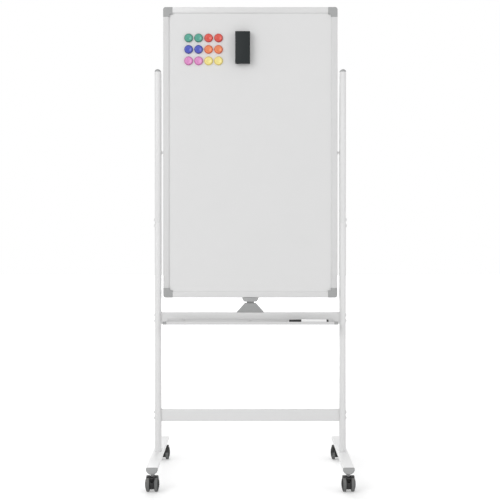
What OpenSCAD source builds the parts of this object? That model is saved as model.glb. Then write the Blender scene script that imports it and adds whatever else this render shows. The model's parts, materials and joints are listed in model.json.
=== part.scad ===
/* [Board] */
// Width of the framed board
board_w = 600; // [500:1:700]
// Height of the framed board
board_h = 1000; // [800:1:1100]
// Height of the pivot line above the floor
pivot_z = 1112; // [1112:1:1200]
// Thickness of the frame from front to back
frame_t = 20; // [18:0.5:26]
// Face width of a frame rail
rail_w = 22; // [20:0.5:28]
// Wall of a frame rail
rail_wall = 1.4; // [1:0.1:1.8]
// Distance from the frame's outer edge to the panel's edge
panel_inset = 12; // [11:0.5:13]
// Thickness of the core panel
core_t = 10; // [8:0.5:11]
// Thickness of one writing sheet
sheet_t = 0.4; // [0.3:0.1:1]

/* [Corner caps] */
// Length of a corner cap along the top or bottom edge
cap_len_x = 32; // [30:0.5:45]
// Length of a corner cap along the side edge
cap_len_z = 33.5; // [30:0.5:45]
// Height of a corner cap's arm along the top or bottom edge
cap_arm_x = 24.5; // [23.5:0.5:29]
// Width of a corner cap's arm along the side edge
cap_arm_z = 22.5; // [22.5:0.5:29]
// Radius of a corner cap's outer corner
cap_r = 8.5; // [4:0.5:10]
// How far a corner cap stands proud of the rails
cap_proud = 0.6; // [0.4:0.1:1.5]
// Depth that a corner cap's tongue enters a rail
tongue_len = 18; // [8:1:30]

/* [Posts] */
// Gap between the board's edge and a post
post_gap = 7.5; // [6.5:0.5:12]
// Width of a post
post_w = 21.5; // [20:0.5:26]
// Depth of a post from front to back
post_d = 45; // [42:1:60]
// Wall of a post
post_wall = 1.5; // [1:0.1:2]
// Height of the posts' upper ends above the floor
post_top_z = 1389; // [1200:1:1450]
// Height of the joint between upper and lower posts
seam_z = 870; // [700:1:950]
// Height of a post cap's dome
dome_h = 8; // [5:0.5:10]
// Length of the sleeve inside each post joint
sleeve_len = 90; // [60:1:140]
// Wall of the sleeve
sleeve_wall = 3; // [2:0.1:4]
// Height of the threaded plug in a post's lower end
plug_h = 30; // [20:1:50]

/* [Crossbars] */
// Height of a crossbar's section
bar_h = 40; // [36:1:50]
// Depth of a crossbar's section
bar_d = 22; // [16:1:22]
// Wall of a crossbar
bar_wall = 1.5; // [1:0.1:2]
// Corner radius of a crossbar
bar_r = 3; // [2.5:0.5:5]
// Height of the lower crossbar's centre line above the floor
lower_bar_z = 206; // [160:1:400]
// Length of the threaded block in each crossbar end
block_len = 25; // [20:1:60]

/* [Pen tray] */
// Distance from the board's side to the open end of the tray
tray_inset = 15; // [7:0.5:50]
// Distance that the tray reaches in front of its crossbar
tray_reach = 58; // [50:1:80]
// Height of the tray's front lip
lip_h = 10; // [8:0.5:16]
// Height of the tray's rear flange
flange_h = 16; // [14:0.5:20]
// Wall of the tray
tray_wall = 1.6; // [1.2:0.1:2.4]
// Outward length of a tray end cap
tray_cap_len = 13; // [8:0.5:16]

/* [Feet] */
// Width of a foot
foot_w = 37.5; // [34:0.5:40]
// Height of a foot's section
foot_h = 23; // [21:0.5:26]
// Length of a foot with its end caps
foot_len = 500; // [480:1:600]
// Height of a foot's underside above the floor
foot_z = 58; // [58:0.5:70]
// Wall of a foot
foot_wall = 1.6; // [1.2:0.1:2.4]
// Radius of a foot's rounded underside
foot_round_r = 20; // [20:0.5:30]
// Length of a foot's end cap
foot_cap_len = 6; // [4:0.5:10]

/* [Casters] */
// Distance from a foot's end to a caster's stem
stem_inset = 36; // [34:1:60]
// Distance from the stem to the wheel axle
trail = 15; // [13:0.5:17]
// Diameter of a caster wheel
wheel_d = 50; // [46:0.5:52]
// Width of one wheel
wheel_w = 15; // [13:0.5:18]
// Width of a wheel's tread
tread_w = 10.5; // [9:0.5:12]
// Thickness of the caster body between the wheels
web_t = 15.4; // [15:0.1:17]
// Diameter of the caster stem
stem_d = 8; // [6:0.5:8]
// Diameter of the wheel axle
axle_d = 6; // [5:0.5:7]

/* [Latch] */
// Distance that the latch cradle travels
latch_travel = 7.5; // [5:0.5:8]
// Gap between the latch base and the released cradle's head
latch_gap = 6.1; // [6.1:0.1:20]
// Width of the cradle at its top
head_w = 57; // [50:1:64]
// Height of the cradle's head
head_h = 13; // [13:0.5:14]
// Width of the latch base at its foot
base_w = 93; // [80:1:120]
// Height of the latch base
base_h = 31; // [30:0.5:32]
// Width of the cradle's neck
neck_w = 25.4; // [20:0.2:28]
// Depth of the cradle's neck
neck_d = 11; // [8:0.5:11]

/* [Fasteners] */
// Diameter of the frame bolts
bolt_d = 6; // [5:0.5:6.5]
// Diameter of a bolt's head
bolt_head_d = 12; // [11:0.5:13]
// Height of a bolt's head
bolt_head_h = 4; // [2.5:0.1:4.5]
// Distance between the two bolts of a pair
bolt_pitch = 20; // [16:0.5:22]
// Diameter of the pivot pins
pin_d = 6; // [6:0.5:8]

/* [Accessories] */
// Diameter of a magnet
magnet_d = 30; // [20:1:33]
// Height of a magnet
magnet_h = 8; // [6:0.5:12]
// Distance from the board's left edge to the first magnet's centre
magnet_inset_x = 87.5; // [50:0.5:120]
// Distance from the board's top edge to the first magnet's centre
magnet_inset_z = 106; // [50:1:160]
// Distance between magnet columns
magnet_pitch_x = 34.3; // [34:0.1:40]
// Distance between magnet rows
magnet_pitch_z = 39.3; // [34:0.1:45]
// Width of the eraser
eraser_w = 51; // [40:1:60]
// Length of the eraser
eraser_l = 110; // [90:1:140]
// Distance from the board's middle to the eraser's centre line
eraser_offset = 26.5; // [0:0.5:34]
// Distance from the board's top edge to the eraser's centre
eraser_inset_z = 141; // [90:1:200]
// Thickness of the eraser's grip
grip_t = 20; // [14:0.5:26]
// Thickness of the eraser's felt
felt_t = 6; // [4:0.5:10]
// Length of the capped marker
marker_len = 134; // [120:1:150]
// Diameter of the marker's barrel
marker_d = 15; // [12:0.5:17]
// Length of the marker's cap
cap_part = 41; // [36:1:50]
// Distance from the tray's right end to the marker
marker_inset = 19; // [10:1:120]

/* [Hidden] */
$fn = 64;
eps = 0.01;
fit = 0.05;
slip = 0.1;
clear = 0.4;

// Board, worked out from its centre on the pivot line
half_w = board_w / 2;
half_h = board_h / 2;
panel_w = board_w - 2 * panel_inset;
panel_h = board_h - 2 * panel_inset;
panel_t = core_t + 2 * sheet_t;
panel_gap = panel_t + 2 * slip;
chamber_w = panel_inset - 2 * rail_wall;
chamber_t = frame_t - 2 * rail_wall;
lip_bevel = 5;
rail_edge_r = 2;
block_h = 40;

// Stand
post_in_x = half_w + post_gap;
post_x = post_in_x + post_w / 2;
post_out_x = post_in_x + post_w;
foot_top_z = foot_z + foot_h;
tray_bar_top_z = pivot_z - half_h - clear - head_h - latch_gap - base_h;
tray_bar_z = tray_bar_top_z - bar_h / 2;
lower_bar_top_z = lower_bar_z + bar_h / 2;
bar_front_y = -bar_d / 2;
bush_wall = 2;
bush_d = pin_d + 2 * fit + 2 * bush_wall;
bush_flange_t = 1.2;
bush_flange_d = bush_d + 2;
bush_len = 8;
nut_h = 5;
collar_t = 1.5;
bolt_hole_d = bolt_d + 2 * slip;
sleeve_bolt_len = post_wall + sleeve_wall + 4;
bar_bolt_len = post_w + block_len - 5;

// Latch, its base on top of the tray crossbar
base_top_z = tray_bar_top_z + base_h;
head_top_z = pivot_z - half_h - clear;
head_bottom_z = head_top_z - head_h;
jaw_t = 4;
head_d = frame_t + 2 * clear + 2 * jaw_t;
neck_len = head_bottom_z - tray_bar_top_z - 6;
slot_depth = latch_travel + 1;
latch_screw_inset = 13;
latch_screw_pitch = base_w - 2 * latch_screw_inset;

// Casters
wheel_r = wheel_d / 2;
stem_flange_h = 3.8;
stem_flange_d = stem_d + 9.5;
stem_sleeve_h = 12;
stem_sleeve_d = stem_d + 6;
stem_depth = 20;
boss_top_z = foot_z - stem_sleeve_h - clear;
wheel_gap = 0.5;
axle_reach = web_t / 2 + wheel_gap + wheel_w - 4;
hood_r = wheel_r + 2.3;
hood_wall = 1.5;
hood_w = web_t + 2 * (wheel_gap + tread_w);
saddle_h = 4.3;
pedal_w = 8;
pedal_pin_d = 2.5;
pedal_slot_r = 4.5;
pedal_y = 8.5;
pedal_z = 11.5;
socket_len = 26;
stem_y = foot_len / 2 - stem_inset;

// Pen tray
tray_screw_d = 4;
tray_len = board_w - 2 * tray_inset;
tray_top_z = tray_bar_z - bar_h / 2 + 4.5;
tray_bottom_z = tray_top_z - tray_wall;
back_plate_y = bar_front_y - slip - tray_wall;
lip_y = bar_front_y - tray_reach;
marker_r = marker_d / 2;
marker_z = tray_top_z + marker_r + 0.3;
marker_y = lip_y + tray_wall + marker_r + 6;
marker_x = tray_len / 2 - marker_inset - marker_len;
tray_cap_rim = 12;
tray_cap_low = 2.4;
tray_cap_r = 4;
clip_len = 30;
clip_w = 3.6;
clip_t = 4;
nib_z = 9;
nib_len = 6;
shoulder_z = 24;

// Rounded rectangle centred on the origin
module round_rect(w, h, r) {
    square([w - 2 * r, h], center = true);
    square([w, h - 2 * r], center = true);
    for (x = [-1, 1], y = [-1, 1])
        translate([x * (w / 2 - r), y * (h / 2 - r)]) circle(r);
}

// Flat oval, w wide and d long, with full round ends
module flat_oval(w, d) {
    square([w, d - w], center = true);
    for (y = [-1, 1]) translate([0, y * (d - w) / 2]) circle(w / 2);
}

// Extrudes a profile drawn in Y and Z along X, centred
module along_x(len) {
    rotate([90, 0, 90]) linear_extrude(len, center = true) children();
}

// Extrudes a profile drawn in X and Z along Y, centred
module along_y(len) {
    rotate([90, 0, 0]) linear_extrude(len, center = true) children();
}

// Round hole or shaft along X, from x0 to x1
module x_cylinder(x0, x1, d) {
    translate([min(x0, x1), 0, 0]) rotate([0, 90, 0]) cylinder(h = abs(x1 - x0), d = d);
}

// Copies a child to the left and to the right
module both_sides() {
    children();
    mirror([1, 0, 0]) children();
}

// Copies a child to all four corners of the stand
module four_feet() {
    both_sides() {
        children();
        mirror([0, 1, 0]) children();
    }
}

// Bolt with a domed head and a hex socket, its shaft along -X and its head seated at x = 0
module bolt(len) {
    dome_r = bolt_head_d;
    difference() {
        rotate([0, 90, 0]) rotate_extrude() {
            square([bolt_head_d / 2, bolt_head_h * 0.45]);
            intersection() {
                translate([0, bolt_head_h - dome_r]) circle(dome_r);
                square([bolt_head_d / 2, bolt_head_h]);
            }
        }
        translate([bolt_head_h - 1.6, 0, 0]) rotate([0, 90, 0]) cylinder(h = 2, d = bolt_d * 0.75, $fn = 6);
    }
    x_cylinder(-len, eps, bolt_d);
}

// ---- Board -------------------------------------------------------------

// Section of a frame rail: u = 0 is the outer edge, v the thickness
module rail_section() {
    lip_start = rail_w - lip_bevel;
    lip_tip = panel_gap / 2 + 1.1;
    difference() {
        union() {
            translate([rail_edge_r, -frame_t / 2]) square([lip_start - rail_edge_r, frame_t]);
            translate([0, -frame_t / 2 + rail_edge_r]) square([rail_edge_r, frame_t - 2 * rail_edge_r]);
            for (v = [-1, 1])
                translate([rail_edge_r, v * (frame_t / 2 - rail_edge_r)]) circle(rail_edge_r);
            polygon([[lip_start - eps, -frame_t / 2], [rail_w, -lip_tip],
                [rail_w, lip_tip], [lip_start - eps, frame_t / 2]]);
        }
        translate([rail_wall, -chamber_t / 2]) square([chamber_w, chamber_t]);
        translate([panel_inset, -chamber_t / 2]) square([lip_start - panel_inset - 0.6, chamber_t]);
        translate([panel_inset, -panel_gap / 2]) square([rail_w, panel_gap]);
    }
}

// Rail with its outer edge at x = 0, standing along Z and centred
module rail(len) {
    linear_extrude(len, center = true) rail_section();
}

rail_len_x = board_w - 2 * cap_len_x - 2 * slip;
rail_len_z = board_h - 2 * cap_len_z - 2 * slip;

module side_rail() {
    difference() {
        translate([-half_w, 0, 0]) rail(rail_len_z);
        x_cylinder(-half_w - 1, -half_w + rail_wall + 1, pin_d + 2 * slip);
    }
}

module end_rail() {
    translate([0, 0, half_h]) rotate([0, 90, 0]) rail(rail_len_x);
}

module on_pivot() {
    translate([0, 0, pivot_z]) children();
}

module top_rail() {
    color("gainsboro") on_pivot() end_rail();
}

module bottom_rail() {
    color("gainsboro") on_pivot() mirror([0, 0, 1]) end_rail();
}

module left_rail() {
    color("gainsboro") on_pivot() side_rail();
}

module right_rail() {
    color("gainsboro") on_pivot() mirror([1, 0, 0]) side_rail();
}

module core_panel() {
    color("tan") on_pivot() cube([panel_w, core_t, panel_h], center = true);
}

module writing_sheet(side) {
    on_pivot() translate([0, side * (core_t + sheet_t) / 2, 0]) cube([panel_w, sheet_t, panel_h], center = true);
}

module front_writing_sheet() {
    color("white") writing_sheet(-1);
}

module rear_writing_sheet() {
    color("white") writing_sheet(1);
}

// Outline of a corner cap, drawn inset by e, with its outer corner at the origin
module cap_outline(e) {
    r = cap_r - e;
    translate([e + r, e]) square([cap_len_x - 2 * e - r, cap_arm_x - 2 * e]);
    translate([e, e + r]) square([cap_arm_z - 2 * e, cap_len_z - 2 * e - r]);
    translate([e + r, e + r]) circle(r);
}

module corner_cap() {
    full_t = frame_t + 2 * cap_proud;
    difference() {
        union() {
            along_y(frame_t) cap_outline(0);
            along_y(full_t) cap_outline(0.9);
        }
        translate([panel_inset - slip, -panel_gap / 2, panel_inset - slip])
            cube([cap_len_x, panel_gap, cap_len_z]);
    }
    // Tongues that enter the two rails
    t = chamber_t - 2 * slip;
    w = chamber_w - 2 * slip;
    translate([cap_len_x - eps, -t / 2, rail_wall + slip]) cube([tongue_len, t, w]);
    translate([rail_wall + slip, -t / 2, cap_len_z - eps]) cube([w, t, tongue_len]);
}

module corner_caps() {
    color("darkgray") on_pivot() both_sides() for (flip = [0, 1])
        mirror([0, 0, flip]) translate([-half_w, 0, -half_h]) corner_cap();
}

module pivot_blocks() {
    w = chamber_w - 2 * slip;
    t = chamber_t - 2 * slip;
    color("silver") on_pivot() both_sides() difference() {
        translate([-half_w + rail_wall + slip, -t / 2, -block_h / 2]) cube([w, t, block_h]);
        x_cylinder(-half_w, -half_w + rail_wall + chamber_w + 1, pin_d + 2 * fit);
    }
}

// Pin from the block in the rail, across the gap, through the bush in the post
module pivot_pins() {
    color("dimgray") on_pivot() both_sides() {
        x_cylinder(-half_w + panel_inset - rail_wall - 1, -post_in_x - bush_len - nut_h - 2, pin_d);
        x_cylinder(-half_w - slip, -half_w - slip - collar_t, pin_d + 6);
    }
}

module pivot_nuts() {
    color("silver") on_pivot() both_sides() difference() {
        translate([-post_in_x - bush_len - clear - nut_h, 0, 0]) rotate([0, 90, 0])
            cylinder(h = nut_h, d = 15, $fn = 6);
        x_cylinder(-post_in_x - bush_len - nut_h - 3, -post_in_x - bush_len, pin_d + 2 * fit);
    }
}

magnet_x = magnet_inset_x - half_w;
magnet_z = pivot_z + half_h - magnet_inset_z;

// Domed magnet with a dished finger face, its back on the front sheet
module magnet() {
    r = magnet_d / 2;
    translate([0, -panel_t / 2, 0]) rotate([90, 0, 0]) rotate_extrude() difference() {
        union() {
            square([r, magnet_h * 0.45]);
            square([r - 2, magnet_h * 0.75]);
            translate([0, magnet_h * 0.45]) intersection() {
                translate([r - 3, 0]) circle(3);
                square([r, 3]);
            }
            square([r - 5, magnet_h]);
        }
        translate([0, magnet_h + r]) circle(r + 1.6);
    }
}

// Two magnets side by side: pair 0 is the left pair, row 0 the top row
module magnet_pair(pair, row) {
    for (i = [0, 1])
        translate([magnet_x + (2 * pair + i) * magnet_pitch_x, 0, magnet_z - row * magnet_pitch_z]) magnet();
}

module magnets_green() {
    color("mediumseagreen") magnet_pair(0, 0);
}

module magnets_red() {
    color("tomato") magnet_pair(1, 0);
}

module magnets_blue() {
    color("royalblue") magnet_pair(0, 1);
}

module magnets_orange() {
    color("darkorange") magnet_pair(1, 1);
}

module magnets_pink() {
    color("orchid") magnet_pair(0, 2);
}

module magnets_yellow() {
    color("gold") magnet_pair(1, 2);
}

// ---- Eraser and marker ---------------------------------------------------

eraser_x = -eraser_offset;
eraser_z = pivot_z + half_h - eraser_inset_z;
felt_back_y = -panel_t / 2 - 0.3;

module eraser_felt() {
    color("dimgray") translate([eraser_x, felt_back_y - felt_t / 2, eraser_z])
        along_y(felt_t) round_rect(eraser_w - 3, eraser_l - 3, 1);
}

module eraser_grip() {
    front_y = felt_back_y - felt_t - grip_t;
    groove_r = 14;
    color("darkslategray") translate([eraser_x, 0, eraser_z]) difference() {
        union() {
            translate([0, felt_back_y - felt_t - grip_t / 2 + 1.5, 0])
                along_y(grip_t - 3) round_rect(eraser_w, eraser_l, 1.5);
            translate([0, front_y + grip_t / 2, 0]) along_y(grip_t) round_rect(eraser_w - 2, eraser_l - 2, 1);
        }
        // Finger grooves along both long sides
        for (x = [-1, 1])
            translate([x * (eraser_w / 2 + groove_r - 2.5), front_y + grip_t * 0.45, 0])
                cylinder(h = eraser_l * 0.72, r = groove_r, center = true);
    }
}

// Places a child on the marker's axis, its capped end at x = 0
module on_marker() {
    translate([marker_x, marker_y, marker_z]) children();
}

module marker_barrel() {
    color("white") on_marker() rotate([0, 90, 0]) rotate_extrude() polygon([
        [0, nib_z], [1.4, nib_z], [2.4, nib_z + nib_len], [4, nib_z + nib_len + 0.5],
        [4, shoulder_z], [marker_r - 1.4, shoulder_z + 2],
        [marker_r - 1.4, cap_part + clear], [marker_r, cap_part + clear + 0.6],
        [marker_r, marker_len - 7], [marker_r - 2, marker_len - 7],
        [marker_r - 2, marker_len - 2.4], [0, marker_len - 2.4]
    ]);
}

module marker_end_plug() {
    color("black") on_marker() difference() {
        rotate([0, 90, 0]) rotate_extrude() polygon([
            [0, marker_len - 6.9], [marker_r, marker_len - 6.9], [marker_r, marker_len - 1],
            [marker_r - 1, marker_len], [0, marker_len]
        ]);
        x_cylinder(marker_len - 8, marker_len - 2.3, 2 * (marker_r - 2 + fit));
    }
}

module marker_cap() {
    color("black") on_marker() difference() {
        union() {
            rotate([0, 90, 0]) rotate_extrude() polygon([
                [0, 0], [marker_r - 1.6, 0], [marker_r - 0.4, 1.4], [marker_r, cap_part], [0, cap_part]
            ]);
            // Pocket clip, turned to the back of the tray
            translate([4, marker_r - clip_t / 2, -clip_w / 2]) cube([clip_len, clip_t, clip_w]);
        }
        x_cylinder(6, cap_part + 1, 2 * (marker_r - 1.4 + clear));
    }
}

// ---- Posts ---------------------------------------------------------------

// Post section at depth e inside its outer face
module post_section(e) {
    flat_oval(post_w - 2 * e, post_d - 2 * e);
}

// Places a child on the left post, x = 0 in its middle
module on_left_post() {
    translate([-post_x, 0, 0]) children();
}

// Holes for a pair of bolts; through cuts both walls, otherwise only the outer one
module bolt_pair_holes(z, through) {
    for (s = [-0.5, 0.5])
        translate([0, 0, z + s * bolt_pitch])
            x_cylinder(-post_w / 2 - 1, through ? post_w / 2 + 1 : 0, bolt_hole_d);
}

module post_tube(z0, z1) {
    translate([0, 0, z0]) difference() {
        linear_extrude(z1 - z0) post_section(0);
        translate([0, 0, -1]) linear_extrude(z1 - z0 + 2) post_section(post_wall);
    }
}

module upper_post() {
    on_left_post() difference() {
        post_tube(seam_z + slip, post_top_z);
        bolt_pair_holes(seam_z, false);
        translate([0, 0, pivot_z]) x_cylinder(0, post_w, bush_d + 2 * fit);
    }
}

module lower_post() {
    on_left_post() difference() {
        post_tube(foot_top_z, seam_z - slip);
        bolt_pair_holes(seam_z, false);
        bolt_pair_holes(tray_bar_z, true);
        bolt_pair_holes(lower_bar_z, true);
    }
}

module left_upper_post() {
    color("whitesmoke") upper_post();
}

module right_upper_post() {
    color("whitesmoke") mirror([1, 0, 0]) upper_post();
}

module left_lower_post() {
    color("whitesmoke") lower_post();
}

module right_lower_post() {
    color("whitesmoke") mirror([1, 0, 0]) lower_post();
}

// Domed cap with a skirt inside the tube
module post_cap() {
    full_h = dome_h + 12;
    arch_h = dome_h - 1.5;
    arch_r = (post_w * post_w / 4 + arch_h * arch_h) / (2 * arch_h);
    intersection() {
        union() {
            linear_extrude(dome_h) post_section(0);
            translate([0, 0, -12]) linear_extrude(12 + eps) post_section(post_wall + slip);
        }
        translate([0, 0, -12]) along_y(post_d + 2) union() {
            translate([-post_w / 2, 0]) square([post_w, full_h - dome_h]);
            intersection() {
                translate([0, full_h - arch_r]) circle(arch_r);
                translate([-post_w / 2, full_h - dome_h]) square([post_w, dome_h]);
            }
        }
    }
}

module post_caps() {
    color("darkgray") both_sides() on_left_post() translate([0, 0, post_top_z + slip / 2]) post_cap();
}

module pivot_bushes() {
    color("dimgray") on_pivot() both_sides() difference() {
        union() {
            x_cylinder(-post_in_x - bush_len, -post_in_x + bush_flange_t, bush_d);
            x_cylinder(-post_in_x + slip / 2, -post_in_x + bush_flange_t, bush_flange_d);
        }
        x_cylinder(-post_in_x - bush_len - 1, -half_w, pin_d + 2 * fit);
    }
}

// Sleeve inside a post's joint
module joint_sleeve() {
    difference() {
        translate([0, 0, seam_z - sleeve_len / 2]) linear_extrude(sleeve_len) post_section(post_wall + slip);
        translate([0, 0, seam_z - sleeve_len / 2 - 1]) linear_extrude(sleeve_len + 2)
            post_section(post_wall + slip + sleeve_wall);
        bolt_pair_holes(seam_z, false);
    }
}

// Threaded plug in a post's lower end
module foot_plug() {
    difference() {
        translate([0, 0, foot_top_z + slip]) linear_extrude(plug_h) post_section(post_wall + slip);
        foot_bolt_places() cylinder(h = plug_h, d = bolt_hole_d);
    }
}

module post_inserts() {
    color("silver") both_sides() on_left_post() {
        joint_sleeve();
        foot_plug();
    }
}

// Pair of bolts whose heads rest on the post's outer face
module bolt_pair(z, len) {
    for (s = [-0.5, 0.5])
        translate([-post_out_x - slip / 2, 0, z + s * bolt_pitch]) mirror([1, 0, 0]) bolt(len);
}

module post_bolts() {
    color("whitesmoke") both_sides() bolt_pair(seam_z, sleeve_bolt_len);
}

// ---- Crossbars -------------------------------------------------------------

module bar_section(e) {
    round_rect(bar_d - 2 * e, bar_h - 2 * e, bar_r - e);
}

module crossbar(z) {
    difference() {
        translate([0, 0, z]) along_x(2 * (post_in_x - slip / 2)) difference() {
            bar_section(0);
            bar_section(bar_wall);
        }
        children();
    }
}

module tray_crossbar() {
    color("whitesmoke") crossbar(tray_bar_z) {
        tray_screw_places() rotate([-90, 0, 0]) cylinder(h = 8, d = tray_screw_d + 2 * slip, center = true);
        latch_screw_places() translate([0, 0, -5]) cylinder(h = 8, d = tray_screw_d + 2 * slip);
    }
}

module lower_crossbar() {
    color("whitesmoke") crossbar(lower_bar_z);
}

module crossbar_blocks() {
    color("silver") both_sides() for (z = [tray_bar_z, lower_bar_z]) difference() {
        translate([-post_in_x + slip + block_len / 2, 0, z]) along_x(block_len) bar_section(bar_wall + slip);
        for (s = [-0.5, 0.5])
            translate([0, 0, z + s * bolt_pitch])
                x_cylinder(-post_in_x - 1, -post_in_x + block_len + 2, bolt_d + 2 * fit);
    }
}

module crossbar_bolts() {
    color("whitesmoke") both_sides() {
        bolt_pair(tray_bar_z, bar_bolt_len);
        bolt_pair(lower_bar_z, bar_bolt_len);
    }
}

// ---- Pen tray --------------------------------------------------------------

// Section of the tray in Y and Z: floor and a lip with a rolled edge
module tray_section() {
    roll_r = tray_wall * 0.9;
    translate([lip_y + roll_r, tray_bottom_z]) square([back_plate_y - fit - lip_y - roll_r, tray_wall]);
    translate([lip_y, tray_bottom_z + roll_r]) square([tray_wall, lip_h - 2 * roll_r]);
    for (z = [roll_r, lip_h - roll_r]) translate([lip_y + roll_r, tray_bottom_z + z]) circle(roll_r);
}

module tray_screw_places() {
    for (x = [-0.4, 0, 0.4])
        translate([x * tray_len, bar_front_y, tray_bottom_z + flange_h - 5]) children();
}

module pen_tray() {
    color("whitesmoke") along_x(tray_len) tray_section();
}

// Plate that carries the tray's floor and is screwed to the crossbar
module tray_back_plate() {
    color("whitesmoke") difference() {
        translate([-tray_len / 2, back_plate_y, tray_bottom_z]) cube([tray_len, tray_wall, flange_h]);
        tray_screw_places() rotate([90, 0, 0]) cylinder(h = 10, d = tray_screw_d + 2 * slip, center = true);
    }
}

module tray_screws() {
    color("silver") tray_screw_places() rotate([90, 0, 0]) {
        translate([0, 0, -6]) cylinder(h = 8, d = tray_screw_d);
        translate([0, 0, slip * 1.5 + tray_wall]) rotate_extrude() intersection() {
            translate([0, -4.2]) circle(6.4);
            square([4, 3]);
        }
    }
}

// Moulded end of the tray: stands as high as the lip in front and runs low to the crossbar behind it
module tray_end_caps() {
    back_y = bar_front_y - slip;
    color("darkgray") both_sides() translate([-tray_len / 2 - tray_cap_len / 2 - slip, 0, 0])
        along_x(tray_cap_len) {
            translate([lip_y + tray_cap_r, tray_bottom_z]) square([back_y - lip_y - tray_cap_r, tray_cap_low]);
            translate([lip_y + tray_cap_r, tray_bottom_z]) square([tray_cap_rim - tray_cap_r, lip_h]);
            translate([lip_y, tray_bottom_z + tray_cap_r]) square([2 * tray_cap_r, lip_h - 2 * tray_cap_r]);
            for (z = [tray_cap_r, lip_h - tray_cap_r])
                translate([lip_y + tray_cap_r, tray_bottom_z + z]) circle(tray_cap_r);
        }
}

// ---- Latch -------------------------------------------------------------

module latch_screw_places() {
    for (s = [-0.5, 0.5]) translate([s * latch_screw_pitch, 0, tray_bar_top_z]) children();
}

module latch_base() {
    top_w = neck_w + 2 * 6.5;
    color("darkgray") difference() {
        union() {
            translate([0, 0, tray_bar_top_z]) along_y(bar_d) polygon([
                [-base_w / 2, 0], [base_w / 2, 0], [base_w / 2 - 2, 3],
                [top_w / 2, base_h], [-top_w / 2, base_h], [-base_w / 2 + 2, 3]
            ]);
            // Screw studs that enter the crossbar
            latch_screw_places() translate([0, 0, -4]) cylinder(h = 5, d = tray_screw_d);
        }
        // Guide of the cradle's neck
        translate([-neck_w / 2 - clear, -neck_d / 2 - clear, head_bottom_z - neck_len - 1])
            cube([neck_w + 2 * clear, neck_d + 2 * clear, neck_len + base_h]);
    }
}

// Cradle with two jaws that close round the bottom rail, and the neck that slides in the base
module latch_cradle() {
    foot_half = head_w / 2 - 5.5;
    color("darkgray") {
        difference() {
            translate([0, 0, head_bottom_z]) along_y(head_d) polygon([
                [-foot_half + 2, 0], [foot_half - 2, 0], [foot_half, 2],
                [head_w / 2, head_h - 2], [head_w / 2 - 1.5, head_h],
                [-head_w / 2 + 1.5, head_h], [-head_w / 2, head_h - 2], [-foot_half, 2]
            ]);
            translate([-head_w, -frame_t / 2 - clear, head_top_z - slot_depth])
                cube([2 * head_w, frame_t + 2 * clear, slot_depth + 1]);
        }
        translate([-neck_w / 2, -neck_d / 2, head_bottom_z - neck_len]) cube([neck_w, neck_d, neck_len + eps]);
    }
}

// ---- Feet --------------------------------------------------------------

// Section of a foot in X and Z: flat top, round underside
module foot_section(e) {
    top_r = 3;
    w = foot_w - 2 * e;
    intersection() {
        translate([0, foot_top_z - e - foot_h]) round_rect(w, 2 * foot_h, top_r);
        translate([0, foot_z + foot_round_r]) circle(foot_round_r - e);
        translate([-w / 2, foot_z]) square([w, foot_h]);
    }
}

module foot_bolt_places() {
    for (y = [-1, 1]) translate([0, y * (post_d / 2 - 12), foot_top_z - foot_wall]) children();
}

module foot() {
    tube_len = foot_len - 2 * foot_cap_len - 2 * slip;
    on_left_post() difference() {
        along_y(tube_len) difference() {
            foot_section(0);
            foot_section(foot_wall);
        }
        // Bolts of the post, and the holes through which they are driven
        foot_bolt_places() {
            translate([0, 0, -1]) cylinder(h = foot_wall + 2, d = bolt_hole_d);
            translate([0, 0, -foot_h]) cylinder(h = foot_h - 4, d = bolt_head_d + 2);
        }
        for (y = [-1, 1]) translate([0, y * stem_y, foot_z - 1]) cylinder(h = foot_h / 2, d = stem_d + 2 * slip);
    }
}

module left_foot() {
    color("whitesmoke") foot();
}

module right_foot() {
    color("whitesmoke") mirror([1, 0, 0]) foot();
}

module foot_end_caps() {
    color("darkgray") four_feet() on_left_post() {
        translate([0, -(foot_len - foot_cap_len) / 2, 0]) along_y(foot_cap_len) foot_section(0);
        translate([0, -(foot_len / 2 - foot_cap_len - 4), 0]) along_y(8 + eps) foot_section(foot_wall + slip);
    }
}

module foot_bolts() {
    color("silver") both_sides() on_left_post() foot_bolt_places() translate([0, 0, -slip / 2])
        rotate([0, 90, 0]) bolt(plug_h - 6);
}

// ---- Casters -----------------------------------------------------------

// Places a child on the front left caster's stem axis; +Y points to the wheels
module on_stem() {
    translate([-post_x, -stem_y, 0]) mirror([0, 1, 0]) children();
}

module caster_sockets() {
    color("dimgray") four_feet() translate([-post_x, -stem_y, 0]) difference() {
        along_y(socket_len) foot_section(foot_wall + slip);
        translate([0, 0, foot_z]) cylinder(h = foot_h - 4, d = stem_d + 2 * fit);
    }
}

module caster_stems() {
    color("silver") four_feet() on_stem() {
        translate([0, 0, boss_top_z - stem_depth])
            cylinder(h = stem_depth + stem_sleeve_h + clear + foot_h - 5, d = stem_d);
        translate([0, 0, boss_top_z + clear]) cylinder(h = stem_sleeve_h - slip, d = stem_sleeve_d);
        translate([0, 0, foot_z - slip - stem_flange_h]) cylinder(h = stem_flange_h, d = stem_flange_d);
    }
}

// Sector of a disc about the wheel axle, from above the pedal to behind the stem
module hood_sector() {
    far = 2 * wheel_r;
    intersection() {
        circle(hood_r);
        polygon([
            [0, 0], [far * cos(60), far * sin(60)], [far * cos(115), far * sin(115)],
            [far * cos(170), far * sin(170)]
        ]);
    }
}

// Thin hood over both treads, its web between the wheels hollowed to a saddle and cleared round the stem
module caster_hood() {
    saddle_r = (web_t * web_t / 4 + saddle_h * saddle_h) / (2 * saddle_h);
    difference() {
        translate([0, trail, wheel_r]) difference() {
            union() {
                along_x(web_t) hood_sector();
                along_x(hood_w) difference() {
                    hood_sector();
                    circle(hood_r - hood_wall);
                }
            }
            rotate([0, 90, 0]) rotate_extrude() translate([hood_r - saddle_h + saddle_r, 0]) circle(saddle_r);
        }
        translate([0, 0, boss_top_z]) cylinder(h = wheel_r, d = stem_sleeve_d + 4);
    }
}

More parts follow.
